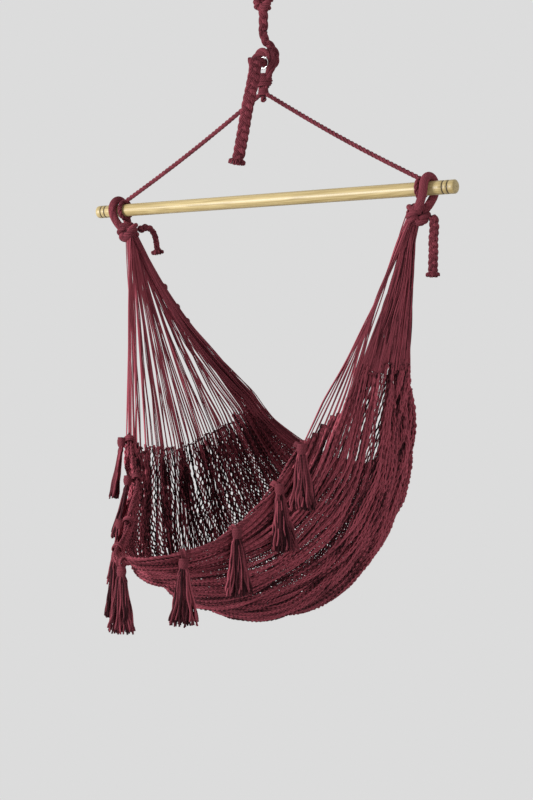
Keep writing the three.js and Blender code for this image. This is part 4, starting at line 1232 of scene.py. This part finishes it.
def make_skirt(number, body, head, wide, out, thin, slope):
    """Loose yarns that spread below the head. slope is how far they lean out for each metre down."""
    skirt = Yarns()
    top = head - UP * 0.0125
    down = np.linspace(0, 1, 18)
    spread = SKIRT_TOP + (SKIRT_FOOT - SKIRT_TOP) * (0.75 * down + 0.25 * down**2)
    spread = spread * (0.62 + 0.38 * smooth(0, 0.12, down))
    for _ in range(TASSEL_YARNS):
        angle = TAU * rng.random()
        reach = np.sqrt(rng.uniform(0.03, 1))
        length = SKIRT_LENGTH * rng.uniform(0.9, 1.04)
        sway = 0.0026 * np.sin(TAU * (down * rng.uniform(1.0, 2.6) + rng.random())) * down
        cross = spread * reach * np.cos(angle) + sway
        depth = spread * reach * thin * np.sin(angle) + 0.6 * np.roll(sway, 3) + length * down * slope
        path = top + cross[:, None] * wide + depth[:, None] * out
        path = path - (length * down - 0.006 * (1 - down))[:, None] * UP
        # Yarns nearer the skirt's middle are darker: painted shade inside the skirt, on top of a random tone.
        skirt.add(path, 0.00185, 6, start=wide, tone=rng.uniform(-0.1, 0.95) * reach**1.5 - 0.18)
    skirt.build(f"tassel_yarns_{number}", body, net_yarn, [f"tassel_skirt_{number}"], "net_yarn")


def make_tassel(number):
    step = number - len(TASSEL_SHARES)
    side, row = np.sign(step), abs(step)
    across = side * TASSEL_SHARES[row]
    before, tied, after = net_point(np.zeros(3), across + np.array([-0.01, 0, 0.01])) + SEAT_AT
    along = np.array([1.0, 0, 0]) if side == 0 else unit(after - before)
    out = unit(np.array([along[1], -along[0], 0]))
    out = -out if out[1] > 0 else out
    wide = np.array([-out[1], out[0], 0])
    lean, slope = np.radians(TASSEL_LEANS[row]), np.tan(np.radians(TASSEL_TILTS[row]))
    head = tied + out * TASSEL_HANG * np.sin(lean) - UP * TASSEL_HANG * np.cos(lean)
    thin = 0.34 if lean > 0.4 else 0.75
    make_cap(number, f"tassel_{number}", tied, head, along, wide)
    make_skirt(number, f"tassel_{number}", head, wide, out, thin, slope)


for tassel_number in range(1, 2 * len(TASSEL_SHARES)):
    make_tassel(tassel_number)

# Floor, light and the end

BACKGROUND = (0.716, 0.716, 0.716, 1)
FLOOR_SEEN = (0.97, 0.97, 0.97, 1)
FLOOR_Z = -2.05
FLOOR_RINGS, FLOOR_SIDES = 24, 64
FLOOR_INNER, FLOOR_REACH = 0.02, 3.98


def floor_mesh():
    """A round floor in rings that widen outward."""
    angles = TAU * np.arange(FLOOR_SIDES) / FLOOR_SIDES
    rings = [FLOOR_INNER + FLOOR_REACH * (k / FLOOR_RINGS) ** 1.5 for k in range(FLOOR_RINGS + 1)]
    points = [(r * np.cos(a), r * np.sin(a), FLOOR_Z) for r in rings for a in angles]
    faces = [tuple(range(FLOOR_SIDES))]
    for ring in range(FLOOR_RINGS):
        first = ring * FLOOR_SIDES
        for j in range(FLOOR_SIDES):
            here, there = first + j, first + (j + 1) % FLOOR_SIDES
            faces.append((here, here + FLOOR_SIDES, there + FLOOR_SIDES, there))
    mesh = bpy.data.meshes.new("floor")
    mesh.from_pydata(points, [], faces)
    return mesh


def make_floor():
    """A matt floor, paler to the camera than to the chair, that fades out round the chair's shadow."""
    mesh = floor_mesh()
    material, tree, shader = new_material("floor", {"Roughness": 1, "Specular IOR Level": 0})
    seen = node(tree, "LightPath").outputs["Is Camera Ray"]
    give(tree, shader.inputs["Base Color"], mixed(tree, seen, BACKGROUND, FLOOR_SEEN))
    reach = node(tree, "VectorMath", {0: object_place(tree)}, operation="LENGTH").outputs["Value"]
    bounds = {"Value": reach, "From Min": 0.5, "From Max": 1.5}
    fade = node(tree, "MapRange", bounds, interpolation_type="SMOOTHSTEP").outputs["Result"]
    clear = node(tree, "BsdfTransparent").outputs["BSDF"]
    mix = node(tree, "MixShader", {0: fade, 1: shader.outputs["BSDF"], 2: clear})
    give(tree, tree.nodes["Material Output"].inputs["Surface"], mix.outputs["Shader"])
    mesh.materials.append(material)
    floor = bpy.data.objects.new("floor", mesh)
    bpy.context.scene.collection.objects.link(floor)


def make_world():
    """Soft white light, and the background's grey where the camera, gloss or glass sees the world."""
    world = bpy.data.worlds.new("studio")
    world.use_nodes = True
    tree = world.node_tree
    light = tree.nodes["Background"]
    light.inputs["Color"].default_value = (1, 1, 1, 1)
    light.inputs["Strength"].default_value = 0.42
    seen = node(tree, "Background", {"Color": BACKGROUND, "Strength": 1})
    path = node(tree, "LightPath").outputs
    first = maths(tree, "ADD", path["Is Camera Ray"], path["Is Glossy Ray"], use_clamp=True)
    both = maths(tree, "ADD", first, path["Is Transmission Ray"], use_clamp=True)
    mix = node(tree, "MixShader", {0: both, 1: light.outputs[0], 2: seen.outputs[0]})
    give(tree, tree.nodes["World Output"].inputs["Surface"], mix.outputs[0])
    bpy.context.scene.world = world


def make_lamp(name, place, target, size, energy):
    data = bpy.data.lights.new(name, "AREA")
    data.shape = "DISK"
    data.size = size
    data.energy = energy
    lamp = bpy.data.objects.new(name, data)
    lamp.location = place
    lamp.rotation_euler = facing(place, target)
    bpy.context.scene.collection.objects.link(lamp)


make_floor()
make_world()
make_lamp("key", (-1.7, -3.0, -0.55), (0, 0, -0.9), 1.6, 124)
make_lamp("fill", (3.2, -2.0, -0.9), (0, 0, -1.0), 2.0, 20)

bpy.context.scene.view_settings.view_transform = "Standard"
